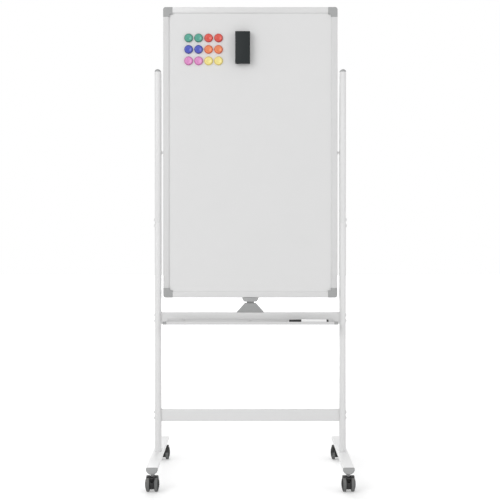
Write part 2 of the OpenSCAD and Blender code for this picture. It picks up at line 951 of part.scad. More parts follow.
// Body between the two wheels: boss round the stem, disc round the axle, and the fixed axle
module caster_body() {
    disc_r = wheel_r - 7;
    boss_r = web_t / 2;
    on_stem() difference() {
        union() {
            translate([0, trail, wheel_r]) rotate([0, 90, 0]) cylinder(h = web_t, r = disc_r, center = true);
            translate([-web_t / 2, 0, wheel_r - 4]) cube([web_t, trail, disc_r + 4]);
            translate([0, 0, wheel_r - 4]) cylinder(h = boss_top_z - wheel_r + 4, r = boss_r);
            translate([0, trail, wheel_r]) x_cylinder(-axle_reach, axle_reach, axle_d);
            caster_hood();
        }
        translate([0, 0, boss_top_z - stem_depth - 1]) cylinder(h = stem_depth + 2, d = stem_d + 2 * fit);
        // Slot in which the brake pedal swings
        translate([-pedal_w / 2 - clear, trail + pedal_y - pedal_slot_r, wheel_r + pedal_z - pedal_slot_r])
            cube([pedal_w + 2 * clear, disc_r, disc_r]);
        translate([0, trail + pedal_y, wheel_r + pedal_z])
            x_cylinder(-web_t, web_t, pedal_pin_d + 2 * fit);
    }
}

// Wheel on the -X side of the body, blind bore towards the body
module caster_wheel() {
    r = wheel_r;
    w = wheel_w;
    dome_edge_r = r - 2.5;
    dome_sag = w - tread_w;
    dome_sphere_r = (dome_edge_r * dome_edge_r + dome_sag * dome_sag) / (2 * dome_sag);
    on_stem() translate([-web_t / 2 - wheel_gap, trail, wheel_r]) rotate([0, -90, 0]) rotate_extrude() difference() {
        union() {
            // Tread with rounded shoulders
            square([r - 2, tread_w]);
            translate([0, 2]) square([r, tread_w - 4]);
            translate([r - 2, 2]) circle(2);
            translate([r - 2, tread_w - 2]) circle(2);
            // Domed outer face
            intersection() {
                translate([0, w - dome_sphere_r]) circle(dome_sphere_r);
                square([dome_edge_r, w]);
            }
        }
        // Bore and the hollow of the inner face
        translate([-1, -1]) square([axle_d / 2 + fit + 1, w - 2.4]);
        translate([r * 0.32, -1]) square([r * 0.42, 4]);
    }
}

// Pedal at rest, its pin along X at the hinge line
module brake_pedal() {
    reach = wheel_r - pedal_y + 2;
    on_stem() translate([0, trail + pedal_y, wheel_r + pedal_z]) {
        x_cylinder(-web_t / 2, web_t / 2, pedal_pin_d);
        x_cylinder(-pedal_w / 2, pedal_w / 2, 7);
        rotate([30, 0, 0]) translate([-pedal_w / 2, 0, 0.5]) cube([pedal_w, reach - 4, 3]);
        rotate([30, 0, 0]) translate([-pedal_w / 2 - 2.5, reach - 9, 1]) along_pedal();
    }
}

module along_pedal() {
    cube([pedal_w + 5, 7, 3.5]);
}

module front_left_caster_body() {
    color("black") caster_body();
}

module front_right_caster_body() {
    color("black") mirror([1, 0, 0]) caster_body();
}

module rear_left_caster_body() {
    color("black") mirror([0, 1, 0]) caster_body();
}

module rear_right_caster_body() {
    color("black") mirror([1, 0, 0]) mirror([0, 1, 0]) caster_body();
}

// Wheel of one caster: side and end choose the caster, turned swaps outer and inner
module placed_wheel(side, end, turned) {
    mirror([side, 0, 0]) mirror([0, end, 0]) translate([-post_x, 0, 0]) mirror([turned, 0, 0])
        translate([post_x, 0, 0]) color("dimgray") caster_wheel();
}

module front_left_outer_wheel() {
    placed_wheel(0, 0, 0);
}

module front_left_inner_wheel() {
    placed_wheel(0, 0, 1);
}

module front_right_outer_wheel() {
    placed_wheel(1, 0, 0);
}

module front_right_inner_wheel() {
    placed_wheel(1, 0, 1);
}

module rear_left_outer_wheel() {
    placed_wheel(0, 1, 0);
}

module rear_left_inner_wheel() {
    placed_wheel(0, 1, 1);
}

module rear_right_outer_wheel() {
    placed_wheel(1, 1, 0);
}

module rear_right_inner_wheel() {
    placed_wheel(1, 1, 1);
}

module front_left_brake_pedal() {
    color("black") brake_pedal();
}

module front_right_brake_pedal() {
    color("black") mirror([1, 0, 0]) brake_pedal();
}

front_writing_sheet();
rear_writing_sheet();
core_panel();
top_rail();
bottom_rail();
left_rail();
right_rail();
corner_caps();
pivot_blocks();
pivot_pins();
pivot_nuts();
magnets_green();
magnets_red();
magnets_blue();
magnets_orange();
magnets_pink();
magnets_yellow();
eraser_grip();
eraser_felt();
marker_barrel();
marker_end_plug();
marker_cap();
left_upper_post();
right_upper_post();
left_lower_post();
right_lower_post();
post_caps();
pivot_bushes();
post_inserts();
post_bolts();
tray_crossbar();
lower_crossbar();
crossbar_blocks();
crossbar_bolts();
pen_tray();
tray_back_plate();
tray_end_caps();
tray_screws();
latch_base();
latch_cradle();
left_foot();
right_foot();
foot_end_caps();
foot_bolts();
caster_sockets();
caster_stems();
front_left_caster_body();
front_right_caster_body();
rear_left_caster_body();
rear_right_caster_body();
front_left_outer_wheel();
front_left_inner_wheel();
front_right_outer_wheel();
front_right_inner_wheel();
rear_left_outer_wheel();
rear_left_inner_wheel();
rear_right_outer_wheel();
rear_right_inner_wheel();
front_left_brake_pedal();
front_right_brake_pedal();
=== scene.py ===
"""Looks of a mobile revolving board easel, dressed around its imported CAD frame.

Every length is in metres. The frame's axes are +X right, -Y front and +Z up.
"""

import json
import logging
import math
from collections.abc import Callable
from dataclasses import dataclass, field
from enum import Enum

import bmesh
import bpy
from bpy.types import Material, Mesh, Node, NodeSocket, NodeTree, Object
from mathutils import Matrix, Vector

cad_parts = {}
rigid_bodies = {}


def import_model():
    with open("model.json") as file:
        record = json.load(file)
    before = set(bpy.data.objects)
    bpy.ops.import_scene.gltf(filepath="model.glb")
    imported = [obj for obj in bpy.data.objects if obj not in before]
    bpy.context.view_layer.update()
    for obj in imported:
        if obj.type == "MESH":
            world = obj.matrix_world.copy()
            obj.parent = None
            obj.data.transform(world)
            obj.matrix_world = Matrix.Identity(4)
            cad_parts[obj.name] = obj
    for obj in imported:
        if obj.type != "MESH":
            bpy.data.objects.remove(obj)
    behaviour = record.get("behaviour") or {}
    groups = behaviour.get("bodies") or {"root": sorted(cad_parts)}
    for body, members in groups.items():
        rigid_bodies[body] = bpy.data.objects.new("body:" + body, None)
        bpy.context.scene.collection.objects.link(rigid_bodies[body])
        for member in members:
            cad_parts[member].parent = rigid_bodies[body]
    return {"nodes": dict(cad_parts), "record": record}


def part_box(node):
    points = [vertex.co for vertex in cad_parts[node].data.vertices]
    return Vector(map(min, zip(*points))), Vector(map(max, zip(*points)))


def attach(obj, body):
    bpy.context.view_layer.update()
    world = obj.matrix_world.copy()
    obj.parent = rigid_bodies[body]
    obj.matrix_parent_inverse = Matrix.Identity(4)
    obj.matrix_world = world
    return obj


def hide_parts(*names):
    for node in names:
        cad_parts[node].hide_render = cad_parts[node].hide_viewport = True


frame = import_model()

LOG = logging.getLogger("easel")
MM = 0.001
MERGE = 0.02 * MM  # Points nearer than this are one point
TINY = 0.01 * MM  # Smallest radius, and how far a point may lie off a plane
SHARP = math.radians(35.0)  # Edges sharper than this aren't shaded smooth

Three = tuple[float, float, float]
Colour = Three
Place = tuple[Vector, Vector]  # The two corners of a box, or a point and a direction
Sockets = bpy.types.bpy_prop_collection


# ---------------------------------------------------------------------------
# Shader node groups, each built once and shared by the finishes
# ---------------------------------------------------------------------------


class Wiring:
    """Short ways to add and join nodes in one tree."""

    def __init__(self, tree: NodeTree) -> None:
        """Keep the tree that the nodes go into."""
        self.tree = tree

    def fill(self, node: Node, inputs: dict) -> None:
        """Link sockets into a node's inputs, or set them to plain values.

        Args:
            node: The node.
            inputs: A socket or a value for each input, by its name or number.
        """
        for key, value in inputs.items():
            if isinstance(value, NodeSocket):
                self.tree.links.new(value, node.inputs[key])
            else:
                node.inputs[key].default_value = value

    def node(self, kind: str, inputs: dict | None = None, **settings: object) -> Node:
        """Add a node, set its properties and fill its inputs.

        Args:
            kind: The node's type name.
            inputs: A socket or a value for each input, by its name or number.
            **settings: Properties of the node, by name.

        Returns:
            The new node.
        """
        made = self.tree.nodes.new(kind)
        for name, value in settings.items():
            setattr(made, name, value)
        self.fill(made, inputs or {})
        return made

    def group(self, tree: NodeTree, inputs: dict) -> Sockets:
        """Add a node group with its inputs filled, and return its outputs."""
        return self.node("ShaderNodeGroup", inputs, node_tree=tree).outputs

    def math(self, operation: str, a: object, b: object, clamp: bool = False) -> NodeSocket:
        """Calculate with two sockets or numbers, and clamp the result to 0 to 1 if asked."""
        return self.node("ShaderNodeMath", {0: a, 1: b}, operation=operation, use_clamp=clamp).outputs[0]

    def product(self, *factors: object) -> NodeSocket:
        """Multiply three or more sockets or numbers.

        Args:
            *factors: The sockets or numbers.

        Returns:
            The product's socket, clamped to 0 to 1.
        """
        result = factors[0]
        for factor in factors[1:-1]:
            result = self.math("MULTIPLY", result, factor)
        return self.math("MULTIPLY", result, factors[-1], clamp=True)

    def mix(self, factor: object, a: object, b: object, blend: str = "MIX") -> NodeSocket:
        """Mix two colours, from a at a factor of 0 to b at 1."""
        inputs = {"Factor": factor, "A": a, "B": b}
        return self.node("ShaderNodeMix", inputs, data_type="RGBA", blend_type=blend).outputs["Result"]

    def noise(self, vector: NodeSocket, scale: object, detail: float) -> NodeSocket:
        """Return a noise texture's value."""
        inputs = {"Vector": vector, "Scale": scale, "Detail": detail}
        return self.node("ShaderNodeTexNoise", inputs).outputs["Fac"]

    def ramp(self, value: NodeSocket, low: float, high: float) -> NodeSocket:
        """Map low to high onto 0 to 1 and clamp it."""
        inputs = {"Value": value, "From Min": low, "From Max": high}
        return self.node("ShaderNodeMapRange", inputs).outputs["Result"]

    def place(self) -> NodeSocket:
        """Return the point's place on the object."""
        return self.node("ShaderNodeTexCoord").outputs["Object"]

    def normal(self) -> NodeSocket:
        """Return the surface's normal."""
        return self.node("ShaderNodeNewGeometry").outputs["Normal"]

    def part(self, vector: NodeSocket, axis: str) -> NodeSocket:
        """Return one coordinate of a vector."""
        return self.node("ShaderNodeSeparateXYZ", {"Vector": vector}).outputs[axis]


@dataclass(frozen=True)
class Patches:
    """Uneven patches over a surface.

    Attributes:
        scale: Scale of their noise, per metre.
        detail: Detail of their noise.
        low: Value of the noise up to which there is none.
        high: Value of the noise from which they are full.
    """

    scale: float
    detail: float
    low: float
    high: float

    def mask(self, w: Wiring, vector: NodeSocket) -> NodeSocket:
        """Return a mask of 0 between the patches and 1 inside them."""
        return w.ramp(w.noise(vector, self.scale, self.detail), self.low, self.high)


class Effects:
    """The shared effects, each a node group.

    A pair of numbers gives where an effect starts and where it is full.
    """

    MID = (0.5, 0.5, 0.5, 1.0)

    EDGE_WIDTH = 0.9 * MM
    EDGE_TURN = (0.004, 0.12)  # 1 less the cosine between the rounded normal and the face's own
    EDGE_BULGE = (0.50, 0.54)  # Pointiness
    EDGE_PATCHES = Patches(180.0, 6.0, 0.35, 0.65)

    DUST = (0.46, 0.44, 0.41, 1.0)
    DUST_UPWARD = (0.3, 1.0)  # Z of the normal
    DUST_HEIGHT = 0.12  # Height below which the floor's dust lies
    DUST_LOW = 0.5  # Dust near the floor, as a share of the dust on what faces up
    DUST_ROUGH = 0.5  # What full dust adds to the roughness
    DUST_PATCHES = Patches(35.0, 8.0, 0.30, 0.75)

    DRIFT_SCALE = 9.0
    # Painted shade on side faces, fading out towards front and back faces
    SIDE_SHADE_FRONT = (0.45, 0.98)  # Y of the normal, from a side face to a front or back face

    SMEAR_ANGLE = math.radians(24.0)
    SMEAR_SCALE = (3.0, 3.0, 26.0)
    SMEAR_ROUGH = 0.03  # What a full smear adds to the roughness
    SMEARS = Patches(1.6, 6.0, 0.48, 0.72)
    SMEARED_AREAS = Patches(3.1, 2.0, 0.42, 0.68)

    def __init__(self) -> None:
        """Build every effect's node group."""
        self.edge = self._edge_tone()
        self.dust = self._dust()
        self.grain = self._grain()
        self.lines = self._drawn_lines()
        self.wipes = self._wipe_marks()
        self.slope = self._painted_side_shade()

    @staticmethod
    def _start(name: str, inputs: dict, outputs: list[str]) -> tuple[Wiring, Sockets]:
        """Make a group with its sockets.

        Args:
            name: The group's name.
            inputs: Each input's default: a number, a vector of three or a colour of four.
            outputs: Names of the outputs. The one named Colour is a colour, and the others are numbers.

        Returns:
            The group's wiring, and the sockets that give its inputs' values.
        """
        group = bpy.data.node_groups.new(name, "ShaderNodeTree")
        for key, value in inputs.items():
            kind = "Float" if isinstance(value, float) else "Vector" if len(value) == 3 else "Color"
            socket = group.interface.new_socket(key, in_out="INPUT", socket_type=f"NodeSocket{kind}")
            socket.default_value = value
        for key in outputs:
            kind = "Color" if key == "Colour" else "Float"
            group.interface.new_socket(key, in_out="OUTPUT", socket_type=f"NodeSocket{kind}")
        w = Wiring(group)
        return w, w.node("NodeGroupInput").outputs

    def _edge_tone(self) -> NodeTree:
        """Lighten worn edges: where a rounded normal leaves the face's own, and the surface bulges.

        Returns:
            The node group.
        """
        w, given = self._start("edge_tone", {"Colour": self.MID, "Edge Colour": self.MID, "Amount": 0.3},
                               ["Colour"])
        surface = w.node("ShaderNodeNewGeometry").outputs
        soft = w.node("ShaderNodeBevel", {"Radius": self.EDGE_WIDTH}, samples=4).outputs["Normal"]
        same = w.node("ShaderNodeVectorMath", {0: soft, 1: surface["Normal"]}, operation="DOT_PRODUCT")
        near = w.ramp(w.math("SUBTRACT", 1.0, same.outputs["Value"]), *self.EDGE_TURN)
        bulging = w.ramp(surface["Pointiness"], *self.EDGE_BULGE)
        broken = self.EDGE_PATCHES.mask(w, w.place())
        mask = w.product(near, bulging, broken, given["Amount"])
        w.node("NodeGroupOutput", {"Colour": w.mix(mask, given["Colour"], given["Edge Colour"])})
        return w.tree

    def _dust(self) -> NodeTree:
        """Lay a thin film of dust on what faces up, and near the floor.

        Returns:
            The node group.
        """
        w, given = self._start("dust_film", {"Colour": self.MID, "Roughness": 0.4, "Amount": 0.2},
                               ["Colour", "Roughness"])
        low = w.math("SUBTRACT", 1.0, w.ramp(w.part(w.place(), "Z"), 0.0, self.DUST_HEIGHT))
        upward = w.ramp(w.part(w.normal(), "Z"), *self.DUST_UPWARD)
        facing = w.math("ADD", upward, w.math("MULTIPLY", low, self.DUST_LOW), clamp=True)
        mask = w.product(facing, self.DUST_PATCHES.mask(w, w.place()), given["Amount"])
        rough = w.math("ADD", given["Roughness"], w.math("MULTIPLY", mask, self.DUST_ROUGH), clamp=True)
        w.node("NodeGroupOutput", {"Colour": w.mix(mask, given["Colour"], self.DUST), "Roughness": rough})
        return w.tree

    def _grain(self) -> NodeTree:
        """Fine grain of moulded plastic or powder paint, with a slow drift of tone.

        Returns:
            The node group.
        """
        w, given = self._start("surface_grain", {"Colour": self.MID, "Scale": 900.0, "Drift": 0.06},
                               ["Colour", "Height"])
        slow = w.math("SUBTRACT", w.noise(w.place(), self.DRIFT_SCALE, 3.0), 0.5)
        shade = w.math("ADD", 1.0, w.math("MULTIPLY", slow, given["Drift"]))
        grey = w.node("ShaderNodeCombineColor", {channel: shade for channel in range(3)}).outputs["Color"]
        w.node("NodeGroupOutput", {"Colour": w.mix(1.0, given["Colour"], grey, "MULTIPLY"),
                                   "Height": w.noise(w.place(), given["Scale"], 2.0)})
        return w.tree

    def _painted_side_shade(self) -> NodeTree:
        """Paint shade into a colour: deepen it where the surface turns away from the front and the back.

        Returns:
            The node group.
        """
        w, given = self._start("slope_tone", {"Colour": self.MID, "Amount": 0.0}, ["Colour"])
        front = w.ramp(w.math("ABSOLUTE", w.part(w.normal(), "Y"), 0.0), *self.SIDE_SHADE_FRONT)
        mask = w.math("MULTIPLY", w.math("SUBTRACT", 1.0, front), given["Amount"], clamp=True)
        deep = w.mix(1.0, given["Colour"], given["Colour"], "MULTIPLY")
        w.node("NodeGroupOutput", {"Colour": w.mix(mask, given["Colour"], deep)})
        return w.tree

    def _drawn_lines(self) -> NodeTree:
        """Fine lines along an extrusion: the pattern is stretched along the long axis.

        Returns:
            The node group.
        """
        w, given = self._start("drawn_lines", {"Stretch": (1.0, 1.0, 1.0), "Strength": 0.1},
                               ["Height", "Rough Shift"])
        scaled = w.node("ShaderNodeVectorMath", {0: w.place(), 1: given["Stretch"]}, operation="MULTIPLY")
        lines = w.noise(scaled.outputs[0], 1.0, 3.0)
        shift = w.math("MULTIPLY", w.math("SUBTRACT", lines, 0.5), given["Strength"])
        w.node("NodeGroupOutput", {"Height": lines, "Rough Shift": shift})
        return w.tree

    def _wipe_marks(self) -> NodeTree:
        """Faint arcs and smears that wiping leaves on an enamelled sheet.

        Returns:
            The node group.
        """
        w, given = self._start("wipe_marks", {"Colour": self.MID, "Ghost Colour": self.MID, "Amount": 0.05},
                               ["Colour", "Rough Shift"])
        bend = w.node("ShaderNodeMapping", {"Vector": w.place(), "Rotation": (0.0, self.SMEAR_ANGLE, 0.0),
                                            "Scale": self.SMEAR_SCALE})
        smear = self.SMEARS.mask(w, bend.outputs["Vector"])
        area = self.SMEARED_AREAS.mask(w, w.place())
        mask = w.product(smear, area, given["Amount"])
        w.node("NodeGroupOutput", {"Colour": w.mix(mask, given["Colour"], given["Ghost Colour"]),
                                   "Rough Shift": w.product(smear, area, self.SMEAR_ROUGH)})
        return w.tree


# ---------------------------------------------------------------------------
# Finishes
# ---------------------------------------------------------------------------


class Texture(Enum):
    """How a finish's surface is structured."""

    GRAIN = "grain"
    DRAWN = "drawn"
    ENAMEL = "enamel"
    FELT = "felt"
    KRAFT = "kraft"
    INKED = "inked"


@dataclass(frozen=True)
class Finish:
    """One material: its constants, and how much of each effect it has.

    Attributes:
        name: The material's name.
        colour: Linear base colour.
        roughness: Principled roughness.
        texture: How the surface is structured.
        metallic: Principled metallic.
        coat: Principled coat weight.
        sheen: Principled sheen weight.
        specular: Principled specular level.
        grain_scale: Noise scale of the grain, per metre.
        bump: Depth of the grain's bump, in metres.
        drift: Slow drift of the tone.
        edge: Amount of edge tone.
        dust: Amount of dust.
        slope: Amount of painted shade on faces that turn away from the front and the back.
        stretch: Scale of the drawn lines along each axis, per metre.
        ink_end: Where the ink ends along X on an inked part, in metres.
    """

    COAT_ROUGHNESS = 0.08
    SHEEN_ROUGHNESS = 0.5
    WORN = (1.35, 0.03)  # Share and lift of the base colour on a worn edge
    LINES = 0.16  # How much the drawn lines change the roughness
    WIPES = (0.82, 0.05)  # Share of the base colour in a wipe mark, and the marks' amount
    FIBRES = (0.6, 0.3)  # Share of the base colour between fibres, and the width of the fade, in cells
    INK_FADE = 0.3 * MM

    name: str
    colour: Colour
    roughness: float
    texture: Texture = Texture.GRAIN
    metallic: float = 0.0
    coat: float = 0.0
    sheen: float = 0.0
    specular: float = 0.5
    grain_scale: float = 900.0
    bump: float = 0.04 * MM
    drift: float = 0.06
    edge: float = 0.25
    dust: float = 0.12
    slope: float = 0.0
    stretch: Three = (1.0, 1.0, 1.0)
    ink_end: float = 0.0

    def tone(self, share: float, lift: float = 0.0) -> tuple[float, ...]:
        """Return the base colour times a share plus a lift, as a colour of four."""
        return *(min(1.0, channel * share + lift) for channel in self.colour), 1.0

    def build(self, effects: Effects) -> Material:
        """Make the material.

        Args:
            effects: The shared node groups.

        Returns:
            The finished material.
        """
        material = bpy.data.materials.new(self.name)
        material.use_nodes = True
        w = Wiring(material.node_tree)
        colour, height, rough = self._structure(w, effects)
        if self.edge:
            colour = w.group(effects.edge, {"Colour": colour, "Edge Colour": self.tone(*self.WORN),
                                            "Amount": self.edge})["Colour"]
        # Painted shade on faces turned to the side
        if self.slope:
            colour = w.group(effects.slope, {"Colour": colour, "Amount": self.slope})["Colour"]
        if self.dust:
            film = w.group(effects.dust, {"Colour": colour, "Roughness": rough, "Amount": self.dust})
            colour, rough = film["Colour"], film["Roughness"]
        bump = w.node("ShaderNodeBump", {"Distance": self.bump, "Strength": 1.0, "Height": height})
        w.fill(material.node_tree.nodes["Principled BSDF"], {
            "Metallic": self.metallic, "Specular IOR Level": self.specular,
            "Coat Weight": self.coat, "Coat Roughness": self.COAT_ROUGHNESS,
            "Sheen Weight": self.sheen, "Sheen Roughness": self.SHEEN_ROUGHNESS,
            "Base Color": colour, "Roughness": rough, "Normal": bump.outputs["Normal"],
        })
        return material

    def _structure(self, w: Wiring, effects: Effects) -> tuple[NodeSocket, NodeSocket, NodeSocket | float]:
        """Wire the texture's own nodes.

        Args:
            w: The material's wiring.
            effects: The shared node groups.

        Returns:
            The sockets of the colour and of the bump's height, and the roughness.
        """
        grain = w.group(effects.grain, {"Colour": self.tone(1.0), "Scale": self.grain_scale,
                                        "Drift": self.drift})
        colour, height, rough = grain["Colour"], grain["Height"], self.roughness
        if self.texture is Texture.DRAWN:
            lines = w.group(effects.lines, {"Stretch": self.stretch, "Strength": self.LINES})
            height, rough = lines["Height"], w.math("ADD", lines["Rough Shift"], rough, clamp=True)
        elif self.texture is Texture.ENAMEL:
            share, amount = self.WIPES
            wipes = w.group(effects.wipes, {"Colour": colour, "Ghost Colour": self.tone(share),
                                            "Amount": amount})
            colour, rough = wipes["Colour"], w.math("ADD", wipes["Rough Shift"], rough, clamp=True)
        elif self.texture in (Texture.FELT, Texture.KRAFT):
            share, end = self.FIBRES
            fibre = w.node("ShaderNodeTexVoronoi", {"Vector": w.place(), "Scale": self.grain_scale},
                           feature="DISTANCE_TO_EDGE")
            colour = w.mix(w.ramp(fibre.outputs["Distance"], 0.0, end), self.tone(share), colour)
        elif self.texture is Texture.INKED:
            clean = w.ramp(w.part(w.place(), "X"), self.ink_end - self.INK_FADE, self.ink_end)
            colour = w.mix(clean, Palette.INK, colour)
        return colour, height, rough


ALONG = 6.0  # Scale of drawn lines along their axis and across it, per metre
ACROSS = 1400.0


def drawn(name: str, tone: float, axis: int, roughness: float = 0.36) -> Finish:
    """Finish of a painted extrusion whose lines run along one axis.

    Args:
        name: The material's name.
        tone: Linear grey of the paint.
        axis: 0 for X, 1 for Y and 2 for Z.
        roughness: Principled roughness.

    Returns:
        The finish.
    """
    stretch = tuple(ALONG if i == axis else ACROSS for i in range(3))
    return Finish(name, (tone,) * 3, roughness, Texture.DRAWN, bump=0.012 * MM, stretch=stretch, coat=0.1,
                  edge=0.1, dust=0.06)


class Palette:
    """Every finish of the easel, and the materials made from them."""

    INK = (0.015, 0.015, 0.017, 1.0)
    NIB = 6.0 * MM  # Length of the marker's inked tip
    MAGNETS: dict[str, Colour] = {
        "green": (0.072, 0.355, 0.270), "red": (0.690, 0.070, 0.045), "blue": (0.055, 0.082, 0.490),
        "orange": (0.800, 0.228, 0.080), "pink": (0.715, 0.262, 0.560), "yellow": (0.860, 0.745, 0.262),
    }

    def __init__(self) -> None:
        """Make the materials of all the finishes."""
        effects = Effects()
        powder = {"coat": 0.08, "grain_scale": 1100.0, "bump": 0.03 * MM, "drift": 0.03, "edge": 0.12,
                  "dust": 0.08}
        moulded = {"grain_scale": 1500.0, "bump": 0.05 * MM}
        smooth = {"bump": 0.01 * MM, "dust": 0.0}
        finishes = [
            Finish("enamel_white", (0.745,) * 3, 0.24, Texture.ENAMEL, coat=0.25, grain_scale=260.0,
                   drift=0.02, edge=0.0, **smooth),
            Finish("kraft_core", (0.55, 0.42, 0.28), 0.85, Texture.KRAFT, grain_scale=420.0),
            # One white rail paint in two copies: the top and bottom rails' copy is painted lighter and the
            # side rails' copy darker, as painted light and shade
            drawn("rail_white_across", 0.725, 0),
            drawn("rail_white_upright", 0.69, 2),
            drawn("tray_white", 0.66, 0, 0.42),
            Finish("tube_white", (0.775,) * 3, 0.40, **powder),
            Finish("bar_white", (0.75,) * 3, 0.42, **powder),
            # The stand's white powder paint, painted lighter on the feet as painted light
            Finish("foot_white", (0.90,) * 3, 0.40, **{**powder, "dust": 0.02}),
            # Grey plastic, with painted shade on its faces turned to the side
            Finish("moulded_grey", (0.38, 0.385, 0.385), 0.52, drift=0.05, edge=0.10, slope=0.35, **moulded),
            Finish("latch_grey", (0.355, 0.36, 0.36), 0.50, drift=0.05, edge=0.30, **moulded),
            # Same grey plastic as the latch base, painted lighter as painted light on the cradle's head
            Finish("cradle_grey", (0.40, 0.405, 0.405), 0.50, drift=0.05, edge=0.30, **moulded),
            Finish("zinc_bright", (0.62, 0.63, 0.64), 0.34, metallic=1.0, grain_scale=500.0, drift=0.15,
                   edge=0.4, dust=0.05),
            # Zinc painted lighter than the bright zinc, as painted light on the pins and on the caster stems
            # in the feet's shadow
            Finish("zinc_satin", (0.86, 0.86, 0.87), 0.50, metallic=0.3, grain_scale=500.0, drift=0.10,
                   edge=0.3, dust=0.0),
            Finish("nylon_white", (0.80, 0.79, 0.76), 0.50, edge=0.1, dust=0.0),
            Finish("nylon_dark", (0.06, 0.06, 0.065), 0.50, edge=0.2),
            Finish("shell_charcoal", (0.010, 0.014, 0.015), 0.42, specular=0.28, grain_scale=1700.0,
                   bump=0.06 * MM, edge=0.35, dust=0.04),
            Finish("felt_dark", (0.07, 0.07, 0.072), 0.95, Texture.FELT, sheen=0.5, grain_scale=1300.0,
                   bump=0.35 * MM, edge=0.0),
            Finish("marker_white", (0.95,) * 3, 0.28, Texture.INKED, coat=0.3, edge=0.05,
                   ink_end=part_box("marker_barrel")[0].x + self.NIB, **smooth),
            Finish("marker_black", (0.012, 0.012, 0.013), 0.34, coat=0.2, specular=0.3, edge=0.2, dust=0.02),
            Finish("caster_black", (0.010, 0.010, 0.011), 0.42, specular=0.4, edge=0.35, dust=0.10,
                   **moulded),
            Finish("tread_grey", (0.125, 0.128, 0.128), 0.62, grain_scale=1300.0, bump=0.08 * MM, drift=0.25,
                   edge=0.15, dust=0.25),
            Finish("rim_black", (0.014, 0.014, 0.015), 0.58, specular=0.15, edge=0.3, dust=0.10),
        ]
        # Each magnet gets painted shade on its rim, where the faces turn to the side
        for name, colour in self.MAGNETS.items():
            finishes.append(Finish(f"magnet_{name}", colour, 0.30, coat=0.4, drift=0.03, edge=0.10, slope=1.0,
                                   **smooth))
        self.materials = {finish.name: finish.build(effects) for finish in finishes}

    def __getitem__(self, name: str) -> Material:
        """Return a material by its finish's name."""
        return self.materials[name]


# ---------------------------------------------------------------------------
# Mesh helpers
# ---------------------------------------------------------------------------


def add_object(name: str, mesh: Mesh, material: Material | None = None) -> Object:
    """Put a mesh into the scene as an object at the origin.

    Args:
        name: The object's name.
        mesh: Its mesh.
        material: Its only material, if one is given.

    Returns:
        The object.
    """
    obj = bpy.data.objects.new(name, mesh)
    bpy.context.scene.collection.objects.link(obj)
    if material is not None:
        mesh.materials.clear()
        mesh.materials.append(material)
    return obj


def to_mesh(bm: bmesh.types.BMesh, mesh: Mesh) -> Mesh:
    """Write mesh data into a mesh, and free the data.

    Args:
        bm: The data.
        mesh: The mesh that takes it.

    Returns:
        The mesh.
    """
    bm.to_mesh(mesh)
    bm.free()
    return mesh


def smooth_by_angle(mesh: Mesh) -> None:
    """Shade a mesh smooth, with sharp edges where faces meet at more than the sharp angle.

    Args:
        mesh: The mesh, which is changed.
    """
    bm = bmesh.new()
    bm.from_mesh(mesh)
    for edge in bm.edges:
        edge.smooth = len(edge.link_faces) == 2 and edge.calc_face_angle(0.0) < SHARP
    for face in bm.faces:
        face.smooth = True
    to_mesh(bm, mesh)


def baked_copy(obj: Object) -> Mesh:
    """Take an object's modifiers into its mesh, and remove the object.

    Args:
        obj: The object.

    Returns:
        The evaluated mesh as a new plain mesh, shaded smooth by angle.
    """
    bpy.context.view_layer.update()
    graph = bpy.context.evaluated_depsgraph_get()
    mesh = bpy.data.meshes.new_from_object(obj.evaluated_get(graph))
    mesh.name = obj.name
    bpy.data.objects.remove(obj)
    smooth_by_angle(mesh)
    return mesh


def merged(node: str) -> bmesh.types.BMesh:
    """Copy a CAD node's mesh, whose faces are loose, and merge its doubles.

    Args:
        node: The node's name.

    Returns:
        The copy, with its faces joined.
    """
    bm = bmesh.new()
    bm.from_mesh(frame["nodes"][node].data)
    bmesh.ops.remove_doubles(bm, verts=bm.verts, dist=MERGE)
    return bm


def settle(obj: Object, body: str, slot: str, *nodes: str) -> None:
    """Ride a piece on its body, and let it stand for CAD nodes.

    Args:
        obj: The piece.
        body: The CAD body that it moves with.
        slot: The record's material slot. Not used.
        *nodes: The CAD nodes that it replaces, if any.
    """
    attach(obj, body)
    if nodes:
        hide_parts(*nodes)
    LOG.info("%s rides on %s and stands for %s", obj.name, body, ", ".join(nodes) or "no CAD node")


def paint(node: str, material: Material) -> None:
    """Give a CAD node that stays in view its material.

    Args:
        node: The node's name.
        material: The material.
    """
    mesh = frame["nodes"][node].data
    mesh.materials.clear()
    mesh.materials.append(material)
    LOG.info("%s keeps its CAD shape and gets %s", node, material.name)


def islands(node: str) -> list[Place]:
    """Find the boxes of a CAD node's separate solids.

    Args:
        node: The node's name.

    Returns:
        The lowest and highest corner of each solid, ordered by X, then Y, then Z.
    """
    bm = merged(node)
    left = set(bm.verts)
    found = []
    while left:
        stack, points = [left.pop()], []
        while stack:
            vert = stack.pop()
            points.append(vert.co.copy())
            near = {edge.other_vert(vert) for edge in vert.link_edges} & left
            left -= near
            stack += near
        found.append((Vector(map(min, *points)), Vector(map(max, *points))))
    bm.free()
    return sorted(found, key=lambda pair: tuple(round(v, 4) for v in pair[0]))


# ---------------------------------------------------------------------------
# Geometry Nodes: parts that repeat
# ---------------------------------------------------------------------------


